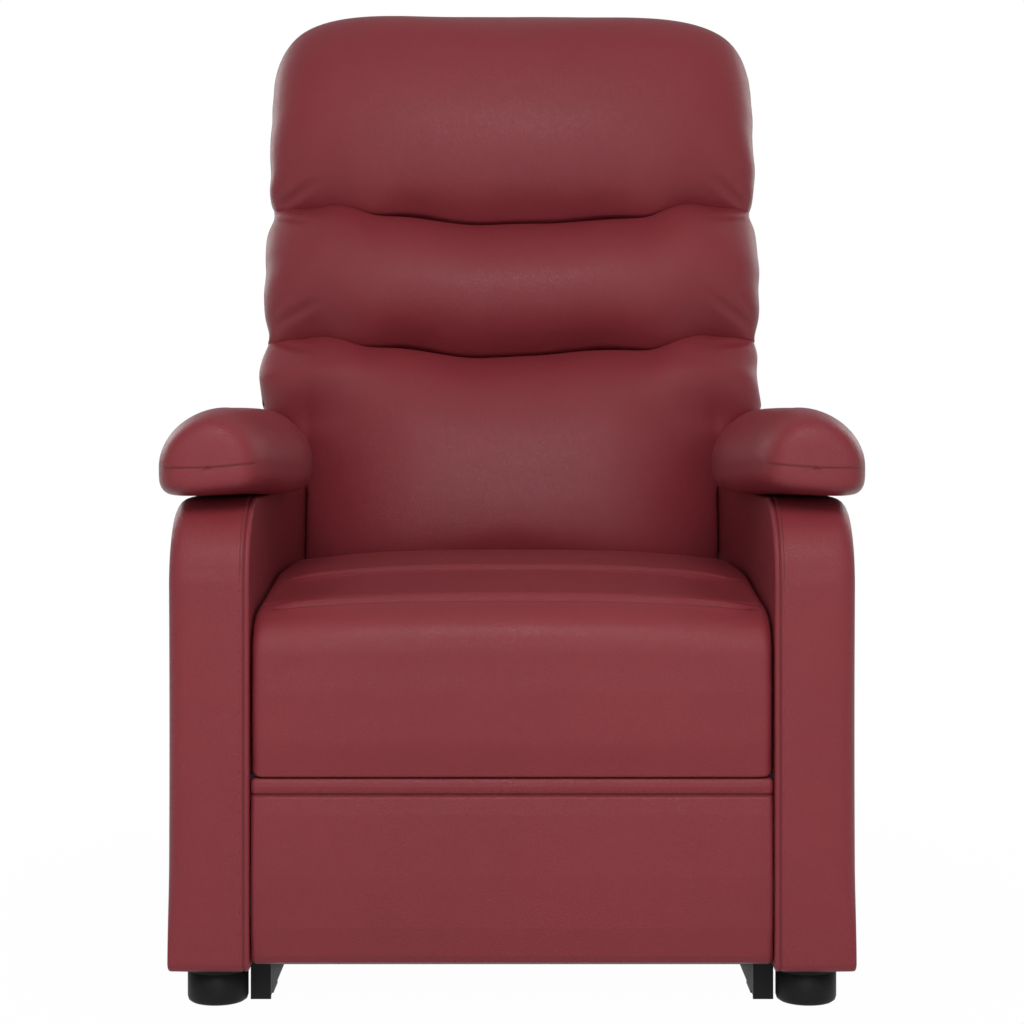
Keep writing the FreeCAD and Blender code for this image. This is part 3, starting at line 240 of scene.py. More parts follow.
def leathercloth(name):
    """Pebbles, pores, folds and drift; painted shade in the pebble valleys and in the seam groove."""
    finish = Finish(name)
    bend = finish.noise(90.0, 2.0)
    where = finish.place()
    shifted = finish.node("VectorMath", {"operation": "MULTIPLY_ADD"})
    made = shifted.socket.node
    finish.feed(made.inputs[0], finish.node("TexNoise", out="Color", Vector=where, Scale=160.0))
    made.inputs[1].default_value = (0.0016, 0.0016, 0.0016)
    finish.feed(made.inputs[2], where)
    cells = finish.node("TexVoronoi", {"feature": "DISTANCE_TO_EDGE"}, Vector=shifted,
                        Scale=PEBBLES_PER_METRE)
    pebbles = (cells * 5.0).clamped()
    pores = finish.noise(2600.0, 2.0)
    folds = finish.noise(38.0, 3.0, 0.6)
    drift = finish.noise(3.2, 3.0, 0.55)
    seam = finish.node("Attribute", {"attribute_name": "seam"}, out="Fac")
    groove = seam.below(0.0024, 0.0024)
    seam_core = seam.below(0.0012, 0.0008)
    tint = finish.blend((drift * 1.6 - 0.3).clamped(), WINE_DEEP, WINE)
    tint = finish.blend((folds * 0.9 - 0.28).clamped() * 0.5, tint, WINE_LIGHT)
    # Painted shade: the valleys between the pebbles are darkened towards WINE_DEEP.
    tint = finish.blend((1 - pebbles) * 0.22, tint, WINE_DEEP)
    # Painted shade: near a seam the colour darkens towards SEAM_SHADE, most within a millimetre of
    # it.
    tint = finish.blend((groove * 0.12 + seam_core * 0.22).clamped(), tint, SEAM_SHADE)
    height = pebbles * 0.55 + pores * 0.12 + bend * 0.5 + folds * 1.4
    finish.relief(height - groove * groove * 2.5 - seam_core * 1.2, EMBOSSING)
    rough = MATT - pebbles * 0.07 + drift * 0.10 + pores * 0.04
    return finish.set(Base_Color=tint, Roughness=rough, IOR=1.45, Specular_IOR_Level=GLOSS)


leather = leathercloth("wine_leathercloth")
print("leathercloth", len(leather.node_tree.nodes), "nodes")

# %% [markdown]
# ## Steel, plastic, wood and cloth
#
# The base and links are powder-coated black, which dries with a fine orange-peel skin. The rods are
# ground bright, with lines that run round them. Housings are moulded plastic with a spark-eroded
# texture. The frame is pale planed softwood with growth rings cut lengthwise, and the webbing and
# dust cover are black woven tape.


# %% Steel
def powder_coat(name, shade):
    """Orange peel from a fine noise, with paler rubbed patches from a coarse one."""
    finish = Finish(name)
    peel = finish.noise(900.0, 2.0)
    wear = finish.noise(14.0, 4.0, 0.65)
    dark = finish.blend((wear * 1.8 - 0.5).clamped() * 0.5, (shade, shade, shade * 1.03, 1),
                        (shade * 1.7, shade * 1.7, shade * 1.75, 1))
    finish.relief(peel + wear * 0.4, 0.00012)
    return finish.set(Base_Color=dark, Roughness=0.50 + wear * 0.14, Specular_IOR_Level=0.12)


def ground_steel(name):
    """Noise squeezed along x into grinding lines, over a faint stain."""
    finish = Finish(name)
    lines = finish.noise(1.0, 2.0, where=finish.stretched(240.0, 2600.0, 2600.0))
    stain = finish.noise(22.0, 3.0)
    tint = finish.blend((stain * 1.5 - 0.4).clamped(), (0.44, 0.44, 0.45, 1), (0.60, 0.60, 0.60, 1))
    finish.relief(lines, 0.00005)
    return finish.set(Base_Color=tint, Metallic=0.95, Roughness=0.24 + lines * 0.16)


# %% Plastic and wood
def moulded(name, shade, tone=(1.0, 1.0, 1.02)):
    """An eroded skin and a slow cloud between a darker and a lighter shade."""
    finish = Finish(name)
    skin = finish.noise(1700.0, 3.0)
    cloud = finish.noise(30.0, 2.0)
    low = tuple(shade * 0.8 * t for t in tone) + (1,)
    high = tuple(shade * 1.3 * t for t in tone) + (1,)
    finish.relief(skin, 0.00010)
    return finish.set(Base_Color=finish.blend(cloud, low, high), Roughness=0.42 + skin * 0.18,
                      Specular_IOR_Level=0.16)


def softwood(name):
    """Growth rings as bands bent by noise, with fibres along them."""
    finish = Finish(name)
    long_way = finish.stretched(4.0, 4.0, 34.0)
    sway = finish.noise(1.3, 3.0, where=long_way)
    rings = finish.node("TexWave", {"wave_type": "BANDS", "bands_direction": "Z"}, Vector=long_way,
                        Scale=1.6, Distortion=3.5, Detail=2.0)
    fibre = finish.noise(1.0, 2.0, where=finish.stretched(60.0, 420.0, 900.0))
    tint = finish.blend(rings * 0.7 + fibre * 0.2, (0.52, 0.35, 0.19, 1), (0.33, 0.19, 0.09, 1))
    tint = finish.blend((sway * 0.5).clamped(), tint, (0.58, 0.42, 0.25, 1))
    finish.relief(rings * 0.5 + fibre, 0.00022)
    return finish.set(Base_Color=tint, Roughness=0.62 + fibre * 0.2)


# %% Woven tape, and the list of finishes
def woven(name, shade):
    """Two wave patterns across each other; the higher one is the thread on top."""
    finish = Finish(name)
    warp = finish.node("TexWave", {"bands_direction": "X"}, Vector=finish.place(), Scale=260.0)
    weft = finish.node("TexWave", {"bands_direction": "Z"}, Vector=finish.place(), Scale=260.0)
    fuzz = finish.noise(500.0, 3.0)
    weave = warp.join("MAXIMUM", weft)
    dark, pale = (shade * 0.5,) * 3 + (1,), (shade * 1.8,) * 3 + (1,)
    tint = finish.blend(weave * 0.6 + fuzz * 0.4, dark, pale)
    finish.relief(weave + fuzz * 0.5, 0.0003)
    return finish.set(Base_Color=tint, Roughness=0.86)


FINISHES = {
    "wine_leather": leather,
    "black_steel": powder_coat("black_powder_coat", 0.008),
    "grey_tube": powder_coat("grey_powder_coat", 0.20),
    "bright_steel": ground_steel("ground_steel_rod"),
    "black_plastic": moulded("black_moulded_plastic", 0.0065),
    "grey_button": moulded("grey_button_plastic", 0.34),
    "board_green": moulded("green_board", 0.09, (0.25, 1.3, 0.5)),
    "frame_wood": softwood("planed_softwood"),
    "black_cloth": woven("black_woven_tape", 0.020),
}
print(len(FINISHES), "finishes")

# %% [markdown]
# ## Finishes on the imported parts
#
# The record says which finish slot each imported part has, so one loop paints them all. The slots are
# the same names as in the dictionary above.

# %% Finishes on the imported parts
painted = 0
for row in frame["record"]["materials"]:
    for node in row.get("nodes", []):
        thing = frame["nodes"][node]
        thing.data.materials.clear()
        thing.data.materials.append(FINISHES[row["slot"]])
        painted += 1
for thing in frame["nodes"].values():
    if thing.data.materials and thing.data.materials[0] in FINISHES.values():
        continue
    imported = thing.data.materials[0].name.split(".")[0] if thing.data.materials else ""
    thing.data.materials.clear()
    thing.data.materials.append(FINISHES.get(imported, FINISHES["black_steel"]))
    painted += 1
print("painted", painted, "packed parts")

# %% [markdown]
# ## Surfaces from grids
#
# Upholstery has few straight lines, so every piece is a grid of points worked out as whole arrays:
# rows run one way over the piece and columns the other. A closed loop joins its last column to its
# first. Where a row has shrunk to a line, only points that fall together are welded: the line stays
# open between points that don't meet, and the cloth moves its two sides a few millimetres apart.


# %% Points along a curve
def even(curve, count, closed=False):
    """Points at equal steps of length along a polyline."""
    curve = np.asarray(curve, float)
    if closed:
        curve = np.vstack([curve, curve[:1]])
    step = np.linalg.norm(np.diff(curve, axis=0), axis=1)
    length = np.concatenate([[0], np.cumsum(step)])
    wanted = np.linspace(0, length[-1], count + 1 if closed else count)
    if closed:
        wanted = wanted[:-1]
    return np.stack([np.interp(wanted, length, curve[:, k]) for k in range(curve.shape[1])], axis=1)


def spaced(curve, count, weight):
    """Points round a closed polyline, closer together where weight(points) is greater."""
    fine = even(curve, 6000, closed=True)
    fine = np.vstack([fine, fine[:1]])
    share = np.concatenate([[0], np.cumsum(weight(fine[1:]))])
    wanted = np.linspace(0, share[-1], count + 1)[:-1]
    return np.stack([np.interp(wanted, share, fine[:, k]) for k in range(fine.shape[1])], axis=1)


print("a line of 3 points", even([(0, 0), (1, 0)], 3).tolist())


# %% Smooth functions
def signed_power(value, power):
    """A power that keeps the sign, for superellipses."""
    return np.sign(value) * np.abs(value) ** power


def bell(value, width):
    """1 at zero, falling off on both sides: e to the power of minus (value / width) squared."""
    return np.exp(-((value / width) ** 2))


def ramp(value, start, end):
    """0 before start, 1 after end, and between them 3 s^2 - 2 s^3 of the share s of the way."""
    share = np.clip((value - start) / (end - start), 0, 1)
    return share * share * (3 - 2 * share)


print("ramp and bell a quarter of the way", ramp(0.25, 0, 1), round(float(bell(0.25, 1)), 4))

# %% Meshes
WELD = 2e-5


def surface(name, points, faces, seam=None, weld=False):
    """A smooth piece with its faces outwards. weld joins points that fall together."""
    mesh = bpy.data.meshes.new(name)
    mesh.from_pydata(points.reshape(-1, 3), [], faces)
    if seam is not None:
        layer = mesh.attributes.new("seam", "FLOAT", "POINT")
        layer.data.foreach_set("value", np.asarray(seam, np.float32).ravel())
    work = bmesh.new()
    work.from_mesh(mesh)
    if weld:
        bmesh.ops.remove_doubles(work, verts=work.verts, dist=WELD)
    bmesh.ops.recalc_face_normals(work, faces=work.faces)
    work.to_mesh(mesh)
    work.free()
    mesh.shade_smooth()
    print(name, len(mesh.vertices), "points")
    return placed(name, mesh)


def grid_piece(name, points, loop=True, seam=None):
    """A piece from a grid (rows, columns, 3). loop joins the columns round."""
    rows, columns = points.shape[:2]
    index = np.arange(rows * columns).reshape(rows, columns)
    if loop:
        index = np.hstack([index, index[:, :1]])
    quads = np.stack([index[:-1, :-1], index[:-1, 1:], index[1:, 1:], index[1:, :-1]], axis=-1)
    return surface(name, points, quads.reshape(-1, 4).tolist(), seam, weld=True)


# %% Dressing a piece
def dress(piece, body, stands_for=(), smooth=0, slot="wine_leather", finish=None):
    """Gives a piece its finish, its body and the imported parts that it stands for."""
    piece.data.materials.append(finish or FINISHES[slot])
    if smooth:
        layer = piece.modifiers.new("even_out", "SUBSURF")
        layer.levels = smooth
        layer.render_levels = smooth
    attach(piece, body)
    if stands_for:
        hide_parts(*stands_for)
    print(piece.name, "rides on", body)
    return piece


print("slots:", ", ".join(FINISHES))


# %% [markdown]
# ## Letting the stuffing push
#
# A sewn cushion isn't quite the shape that was cut: stuffing swells it between its seams and the
# cloth wrinkles where it is held. Blender's cloth, blown up a little with gravity off, does the
# same to the grid. Held points stay where they are, and no point may move further than a cap, so
# the cushion keeps its place. Most of the move is averaged over the neighbours, because full
# cushions like these show broad swelling and hardly a wrinkle.


# %% Reading and averaging moves
STEPS = 20
SPREAD_ROUNDS = 60
WRINKLE_SHARE = 0.12
CLOTH_RULES = {"quality": 5, "mass": 0.35, "tension_stiffness": 18, "compression_stiffness": 18,
               "shear_stiffness": 6, "bending_stiffness": 1.2, "use_pressure": True}


def point_places(mesh):
    """The mesh's points as an array."""
    places = np.empty(len(mesh.vertices) * 3, np.float32)
    mesh.vertices.foreach_get("co", places)
    return places.reshape(-1, 3)


def spread(piece, move, held, rounds):
    """Averages each point's move with its neighbours' moves: only the broad swelling is left."""
    ends = np.empty(len(piece.data.edges) * 2, np.int32)
    piece.data.edges.foreach_get("vertices", ends)
    first, last = ends.reshape(-1, 2).T
    both, other = np.concatenate([first, last]), np.concatenate([last, first])
    count = np.maximum(np.bincount(both, minlength=len(move)), 1)
    for _ in range(rounds):
        total = [np.bincount(both, move[other, k], len(move)) / count for k in range(3)]
        move = 0.5 * move + 0.5 * np.stack(total, axis=1)
        move[held] = 0
    return move


# %% Running the cloth
def swell(jobs):
    """Runs the cloth on several pieces at once.

    A job is (piece, mask of held points, pressure, ease, cap).
    """
    scene = bpy.context.scene
    before = {}
    for piece, held, pressure, ease, cap in jobs:
        before[piece.name] = point_places(piece.data)
        group = piece.vertex_groups.new(name="held")
        group.add(np.nonzero(held)[0].tolist(), 1.0, "REPLACE")
        cloth = piece.modifiers.new("stuffing", "CLOTH")
        rules = cloth.settings
        for key, value in CLOTH_RULES.items():
            setattr(rules, key, value)
        rules.uniform_pressure_force = pressure
        rules.shrink_min = -ease
        rules.effector_weights.gravity = 0
        rules.vertex_group_mass = "held"
        cloth.collision_settings.use_collision = False
        cloth.point_cache.frame_start = 1
        cloth.point_cache.frame_end = STEPS
    for step in range(1, STEPS + 1):
        scene.frame_set(step)
    depsgraph = bpy.context.evaluated_depsgraph_get()
    for piece, held, pressure, ease, cap in jobs:
        rest = before[piece.name]
        moved = point_places(piece.evaluated_get(depsgraph).data)
        raw = (moved - rest).astype(float)
        broad = spread(piece, raw, held, SPREAD_ROUNDS)
        move = WRINKLE_SHARE * raw + (1 - WRINKLE_SHARE) * broad
        far = np.linalg.norm(move, axis=1, keepdims=True)
        move *= cap * np.tanh(far / cap) / np.maximum(far, 1e-9)
        piece.modifiers.remove(piece.modifiers["stuffing"])
        piece.data.vertices.foreach_set("co", (rest + move).astype(np.float32).ravel())
        piece.data.update()
        print(piece.name, "swelled by up to", round(float(far.max()) * 1000, 1), "mm")
    scene.frame_set(1)


print("the cloth runs for", STEPS, "steps")

# %% [markdown]
# ## The leaning back
#
# The back is drawn upright and then leaned by 16 degrees about its lower rear edge. Three numbers
# place a point on it: x across, `deep` forward of the rear face and `up` along the back.

# %% The leaning back
TILT = math.radians(16)
BACK_FOOT_Y, BACK_FOOT_Z = 0.215, 0.235


def on_back(x, deep, up):
    """Upright back coordinates in the chair's: y = foot + up sin - deep cos, z likewise."""
    y = BACK_FOOT_Y + up * math.sin(TILT) - deep * math.cos(TILT)
    z = BACK_FOOT_Z + up * math.cos(TILT) + deep * math.sin(TILT)
    return np.stack(np.broadcast_arrays(x, y, z), axis=-1)


def off_back(points):
    """The upright coordinates (x, deep, up) of points of the leaning back."""
    dy, dz = points[..., 1] - BACK_FOOT_Y, points[..., 2] - BACK_FOOT_Z
    deep = -dy * math.cos(TILT) + dz * math.sin(TILT)
    up = dy * math.sin(TILT) + dz * math.cos(TILT)
    return points[..., 0], deep, up


print("top of the back", on_back(0.0, 0.0, 0.85).round(3).tolist())

# %% [markdown]
# ## Back pillows
#
# Each pillow is a bag sewn shut along its top and bottom and stuffed so that its front crowns. Seen
# from the side it is a fat half oval, seen from above a flatter one with full sides. The two
# creases between the pillows sag in the middle and climb towards the sides. A superellipse gives
# both ovals: the sum of the two coordinates, each divided by its half width and raised to a power,
# is one. A power of 2 is an ellipse, and higher powers are boxier. Where two pillows meet, the side
# view falls off evenly instead, which leaves the crease an open valley with light in it.

# %% Crease lines
PLAIN = 0.02  # a seam distance at which the leathercloth shows no seam
HALF_BACK = 0.317
CREASE_FALL = 1.55
SEAM_DEEP = 0.120
SHELL_DEEP = 0.0756
ARM_TOP = 0.497
SEAM_LEVEL = ARM_TOP + 0.031


def crease(x, level, climbs):
    """A crease's height: its level in the middle, and smooth climbs (rise, start, end) outwards."""
    share = np.abs(x) / HALF_BACK
    return sum((rise * ramp(share, start, end) for rise, start, end in climbs), level)


def crease_high(x):
    """Height of the upper crease: a sagging middle and a rise towards the sides."""
    climbs = ((0.010, 0.10, 0.45), (0.0205, 0.52, 0.78), (0.003, 0.80, 0.95))
    return crease(x, 0.5650, climbs) + 0.0015 * np.sin(x * 31 + 0.7)


def crease_low(x):
    """Height of the lower crease, with a deeper and wider sag."""
    climbs = ((0.0105, 0.10, 0.45), (0.0215, 0.54, 0.80))
    return crease(x + 0.002, 0.3905, climbs) + 0.002 * np.sin(x * 27)


def head_top(x):
    """Top edge of the head pillow: a superellipse of power 4.4 about a middle at 0.70."""
    share = np.clip(np.abs(x) / (HALF_BACK + 0.002), 0, 1)
    fall = 0.005 * ramp(x, 0.02, 0.30)
    return 0.70 + (0.169 - fall) * (1 - share**4.4) ** (1 / 4.4)


print("creases in the middle", [round(float(f(0.0)), 3) for f in (crease_low, crease_high)])


# %% Pillow sections
def section(half, front, rear, power_front, power_rear, count):
    """A pillow seen from above, evenly spaced: share of the half width, and depth in metres."""
    angle = np.linspace(0, 2 * np.pi, 2400, endpoint=False)
    power = np.where(np.cos(angle) > 0, power_front, power_rear)
    x = half * signed_power(np.sin(angle), 2 / power)
    deep = np.where(np.cos(angle) > 0, front, rear) * signed_power(np.cos(angle), 2 / power)
    loop = even(np.stack([x, deep], axis=1), count, closed=True)
    return loop[:, 0] / half, loop[:, 1]


def side_profile(half, front, powers, flats, count):
    """Unit half oval of a pillow seen from the side, from its bottom seam to its top seam.

    An end that meets another pillow (flats above 0) falls off evenly, so the crease is an open
    valley; the other kind closes square to the back, as a superellipse does.
    """
    angle = np.linspace(-np.pi / 2, np.pi / 2, 1600)
    power = np.where(angle > 0, powers[1], powers[0])
    meets = np.where(angle > 0, flats[1], flats[0]) > 0
    up = half * signed_power(np.sin(angle), 2 / power)
    deep = front * np.abs(np.cos(angle)) ** np.where(meets, CREASE_FALL, 2 / power)
    curve = even(np.stack([up, deep], axis=1), count)
    return curve[:, 0] / half, curve[:, 1] / front


# %% Folds and the pillow's grid
# Short folds that start at the pinched ends of the creases: how far out and how high they start,
# their angle in degrees, length and depth.
FOLDS = ((0.305, 0.602, 24, 0.075, 0.0022), (0.305, 0.612, 52, 0.050, 0.0013),
         (0.305, 0.583, -20, 0.070, 0.0020), (0.305, 0.437, 20, 0.085, 0.0022),
         (0.305, 0.446, 48, 0.055, 0.0014), (0.305, 0.418, -18, 0.070, 0.0018))
# Waves along the pillows' sides: wave length in metres and share.
SIDE_WAVES = ((0.037, 0.4), (0.059, 0.8), (0.083, 1.2))
AROUND = 220


def sides(up, out):
    """How far the lower cushion falls back beside the arms: by the square from 0.11 m out."""
    between = 1 - ramp(up, 0.300, 0.375)
    return between * 0.040 * np.clip((out - 0.11) / 0.145, 0, 1) ** 2


def pillow(name, low, high, front, powers, flats, width, rows, seed):
    """A back pillow between the seam heights low(x) and high(x), width(up, deep) wide on each side.

    flats gives, for its lower and upper end, how much of its fullness the end keeps where it meets
    the next pillow; a last row closes such an end with a flat face. A bell of 4.5 mm shifts what
    is near the lower crease sideways, because the photographed back isn't quite straight.
    """
    across, loop_deep = section(HALF_BACK, front, SEAM_DEEP - SHELL_DEEP, 2.75, 7.0, AROUND)
    up_share, swell_share = side_profile(0.11, front, powers, flats, rows)
    kept = np.where(up_share < 0, flats[0], flats[1])[:, None]
    kept = kept * (1 - 0.75 * ramp(np.abs(across), 0.62, 0.90))
    full = kept + (1 - kept) * swell_share[:, None]
    up_share, swell_share = (np.concatenate([v[:1], v, v[-1:]]) for v in (up_share, swell_share))
    full = np.vstack([0 * full[:1], full, 0 * full[:1]])
    x_plain = across * HALF_BACK
    bottom, top = low(x_plain), high(x_plain)
    up = bottom + (top - bottom) * (up_share[:, None] + 1) / 2
    deep = SEAM_DEEP + np.where(loop_deep > 0, full, np.minimum(1, 2 * full)) * loop_deep
    x = np.sign(across) * width(up, deep, np.abs(across)) - 0.0045 * bell(up - 0.375, 0.03)
    for out, at, angle, long, dent in FOLDS:
        for side in (-1, 1):
            turn = math.radians(angle + 4 * side)
            along = (out - side * x) * math.cos(turn) + (up - at) * math.sin(turn)
            beside = (up - at) * math.cos(turn) - (out - side * x) * math.sin(turn)
            mark = bell(beside, 0.0045) - 0.5 * bell(np.abs(beside) - 0.009, 0.005)
            fade = ramp(along, 0, 0.010) * (1 - ramp(along, long * 0.4, long))
            deep = deep - dent * mark * fade * (loop_deep > 0)
    deep = deep - (loop_deep > 0) * sides(up, np.abs(x))
    edge = np.abs(across)[None, :] ** 7 * swell_share[:, None] ** 0.5
    random = np.random.default_rng(seed)
    waves = np.zeros_like(up)
    for length, size in SIDE_WAVES:
        waves += size * np.sin(up / length * 2 * np.pi + random.uniform(0, 6.28) + np.sign(x) * 1.3)
    x = x + np.sign(x) * edge * waves * 0.0005
    return grid_piece(name, on_back(x, deep, up), seam=np.full_like(up, PLAIN))


print(len(FOLDS), "folds on each side,", len(SIDE_WAVES), "waves")


# %% Widths
def full_width(up, deep, share):
    """The half width above the armrests, a little pinched at both creases."""
    pinch = 0.007 * bell(up - 0.593, 0.020) + 0.006 * bell(up - 0.428, 0.020)
    return share * (HALF_BACK - pinch)


def lower_width(up, deep, share):
    """Square-sided between the arms; above them the edge follows their round, then is full."""
    level = BACK_FOOT_Z + up * math.cos(TILT) + deep * math.sin(TILT)
    climb = np.clip((level - SEAM_LEVEL) / 0.0585, 0, 1)
    round_edge = 0.3052 - 0.0485 * (1 - climb**1.9) ** (1 / 1.9)
    limit = np.where(level < ARM_TOP, 0.2545, round_edge)
    wide = full_width(up, deep, share)
    narrow = wide / (1 + (wide / limit) ** 50) ** (1 / 50)
    return narrow + (wide - narrow) * ramp(level, 0.5870, 0.5895)


print("half widths low and high", [round(float(lower_width(up, 0.1, 1)), 3) for up in (0.2, 0.38)])


# %% The three pillows
PRESSED = 0.0010


def pressed(seam, way):
    """The seam moved by PRESSED, so that two pillows overlap where the stuffing presses them."""
    return lambda x: seam(x) + way * PRESSED


head = pillow("head_pillow_cover", pressed(crease_high, -1), head_top, 0.098, (2.1, 2.4),
              (0.44, 0), full_width, 60, 1)
middle = pillow("middle_pillow_cover", pressed(crease_low, -1), pressed(crease_high, 1), 0.099,
                (2.1, 2.2), (0.44, 0.46), full_width, 50, 2)
lower = pillow("lower_back_cover", lambda x: 0.100 + 0 * x, pressed(crease_low, 1), 0.094,
               (3.4, 2.3), (0, 0.46), lower_width, 92, 3)

# %% [markdown]
# ## Padded panels
#
# Arms, back shell, footrest and valance are boards wrapped in thin foam and leathercloth. Such a
# panel is an outline with a thickness: from the middle of one face the surface runs out to the rim,
# turns over a rounded edge, crosses the rim and returns to the middle of the other face. Each point
# of the outline is drawn towards the nearest point of a centre line, so the two faces close on that
# line.


# %% Outlines
def rounded(corners, steps=14):
    """An outline from corners (a, b, radius), with arcs of that radius."""
    corners = [np.array(c, float) for c in corners]
    points = []
    for index, corner in enumerate(corners):
        here, radius = corner[:2], corner[2]
        before = corners[index - 1][:2] - here
        after = corners[(index + 1) % len(corners)][:2] - here
        before, after = before / np.linalg.norm(before), after / np.linalg.norm(after)
        half_angle = math.acos(np.clip(before @ after, -1, 1)) / 2
        if radius <= 0:
            points.append(here[None, :])
            continue
        reach = radius / math.tan(half_angle)
        way = (before + after) / np.linalg.norm(before + after)
        centre = here + way * radius / math.sin(half_angle)
        first, last = here + before * reach - centre, here + after * reach - centre
        turn = math.atan2(first[0] * last[1] - first[1] * last[0], first @ last)
        angle = np.linspace(0, turn, steps)
        arc = np.stack([first[0] * np.cos(angle) - first[1] * np.sin(angle),
                        first[0] * np.sin(angle) + first[1] * np.cos(angle)], axis=1)
        points.append(centre + arc)
    return np.vstack(points)


square = [(0, 0, 0.1), (1, 0, 0.1), (1, 1, 0.1), (0, 1, 0.1)]
print("a rounded square has", len(rounded(square)), "points")


# %% Distance to a line
def nearest_on(line, points):
    """For each point, the nearest point of a polyline."""
    best = np.full(len(points), np.inf)
    found = np.zeros_like(points)
    for start, end in zip(line[:-1], line[1:]):
        start, way = np.array(start, float), np.array(end, float) - np.array(start, float)
        share = np.clip(((points - start) @ way) / max(way @ way, 1e-12), 0, 1)
        spot = start + share[:, None] * way
        gap = np.linalg.norm(points - spot, axis=1)
        closer = gap < best
        best = np.where(closer, gap, best)
        found[closer] = spot[closer]
    return found, best


# %% Profile rows and the panel's grid
def edge_profile(thick, round_low, round_high, dome_low, dome_high, notches=(), reach=0.2,
                 steps=16):
    """Rows (inset, level) of a panel: low face from its middle, notched rim, high face back."""
    rows = []
    for share in np.linspace(0, 1, steps)[:-1]:
        rows.append((reach * (1 - share) + round_low, -dome_low * (1 - share**2.4)))
    for angle in np.linspace(0, np.pi / 2, 7):
        rows.append((round_low * (1 - math.sin(angle)), round_low * (1 - math.cos(angle))))
    rim = np.linspace(round_low, thick - round_high, 9)[1:-1].tolist()
    for place in notches:
        rim = [r for r in rim if abs(r - place) > 0.004]
        rim += [place - 0.0025, place - 0.0012, place, place + 0.0012, place + 0.0025]
    for level in sorted(rim):
        dip = 0.0005 * sum(max(0, 1 - abs(level - place) / 0.0022) for place in notches)
        rows.append((dip, level))
    for angle in np.linspace(np.pi / 2, 0, 7):
        inset, drop = round_high * (1 - math.sin(angle)), round_high * (1 - math.cos(angle))
        rows.append((inset, thick - drop))
    for share in np.linspace(1, 0, steps)[1:]:
        rows.append((reach * (1 - share) + round_high, thick + dome_high * (1 - share**2.4)))
    return np.array(rows)


def wide_rows(half, rounding, reach, count):
    """Rows of a panel that is half wide on each side, with plain levels between its two rims."""
    rows = edge_profile(2 * half, rounding, rounding, 0.0, 0.0, reach=reach, steps=6)
    across = np.linspace(rounding, 2 * half - rounding, count)[1:-1]
    return np.vstack([rows[:12], np.stack([0 * across, across], axis=1), rows[-12:]])


def panel_grid(outline, line, rows):
    """Grid of a padded panel in its own plane: (a, b, level) for each profile row.

    A row's inset, divided by the outline's distance from the line, is the share of the way in.
    """
    centre, gap = nearest_on(line, outline)
    share = np.clip(1 - rows[:, :1] / gap[None, :], 0, 1)
    share[0] = share[-1] = 0
    flat = centre[None] + (outline - centre)[None] * share[..., None]
    level = np.broadcast_to(rows[:, 1:2], share.shape)
    return flat[..., 0], flat[..., 1], level


print("a plain panel has", len(edge_profile(0.02, 0.002, 0.002, 0, 0)), "rows")

# %% [markdown]
# ## Arms
#
# An arm is a deep box covered with one strip round its front and top and a panel on each side. The
# strip meets the inner panel in a seam five and a half millimetres from the edge. The front rolls
# back under the armrest. Its edges are soft above and crisp near the floor.

# %% Arm boxes
FRONT, ARM_REAR, ARM_LOW = -0.460, 0.235, 0.038
INNER, OUTER = 0.2553, 0.335
ROLL = 0.076

arm_corners = [(FRONT, ARM_LOW, 0.004), (ARM_REAR, ARM_LOW, 0.008),
               (ARM_REAR, ARM_TOP, 0.020), (FRONT, ARM_TOP, ROLL)]
arm_outline = even(rounded(arm_corners, 24), 420, closed=True)
arm_line = [(FRONT + 0.20, 0.265), (ARM_REAR - 0.20, 0.265)]
ARM_SEAM = 0.0055
soft, crisp = (
    panel_grid(arm_outline, arm_line,
               edge_profile(OUTER - INNER, 0.003, edge, 0.0, 0.004, notches=(ARM_SEAM,)))
    for edge in (0.017, 0.004))
low_share = 1 - ramp(arm_outline[:, 1], 0.040, 0.130)
arm_y, arm_z, arm_level = (a + (b - a) * low_share for a, b in zip(soft, crisp))


def crowned(y, z, level):
    """y pushed forward by the front strip's shallow crown, a sine over its width."""
    crown = 0.0018 * np.sin(np.pi * np.clip(level / (OUTER - INNER), 0, 1))
    return y - crown * bell(y - FRONT, 0.012) * (z < 0.42)


for side, label in ((1, "left"), (-1, "right")):
    grid = np.stack([side * (INNER + arm_level), crowned(arm_y, arm_z, arm_level), arm_z], axis=-1)
    piece = grid_piece(f"arm_cover_{label}", grid, seam=np.abs(arm_level - ARM_SEAM))
    dress(piece, "chair", [f"arm_panel_{label}"])

# %% [markdown]
# ## Armrests
#
# The armrest is an overstuffed roll. Its front is a dome with one seam across it at its widest
# level. Further back its inner side is drawn in, so that the back can pass between the two rests.
# Seen from the front it is an oval of power 1.9 above the seam and a boxier one of power 4.2 below.

# %% Armrests
PAD_MIDDLE = 0.279
PAD_HALF = 0.075
PAD_FRONT, PAD_REAR = -0.462, 0.228


def drawn_in(y):
    """How far the inner side is drawn in: at the front face, slowly behind it, and by the back."""
    front = 0.033 * (1 - ramp(y, -0.458, -0.250))
    return 0.07 * np.clip(y + 0.42, 0, 0.2) + 0.040 * ramp(y, -0.20, 0.02) + front


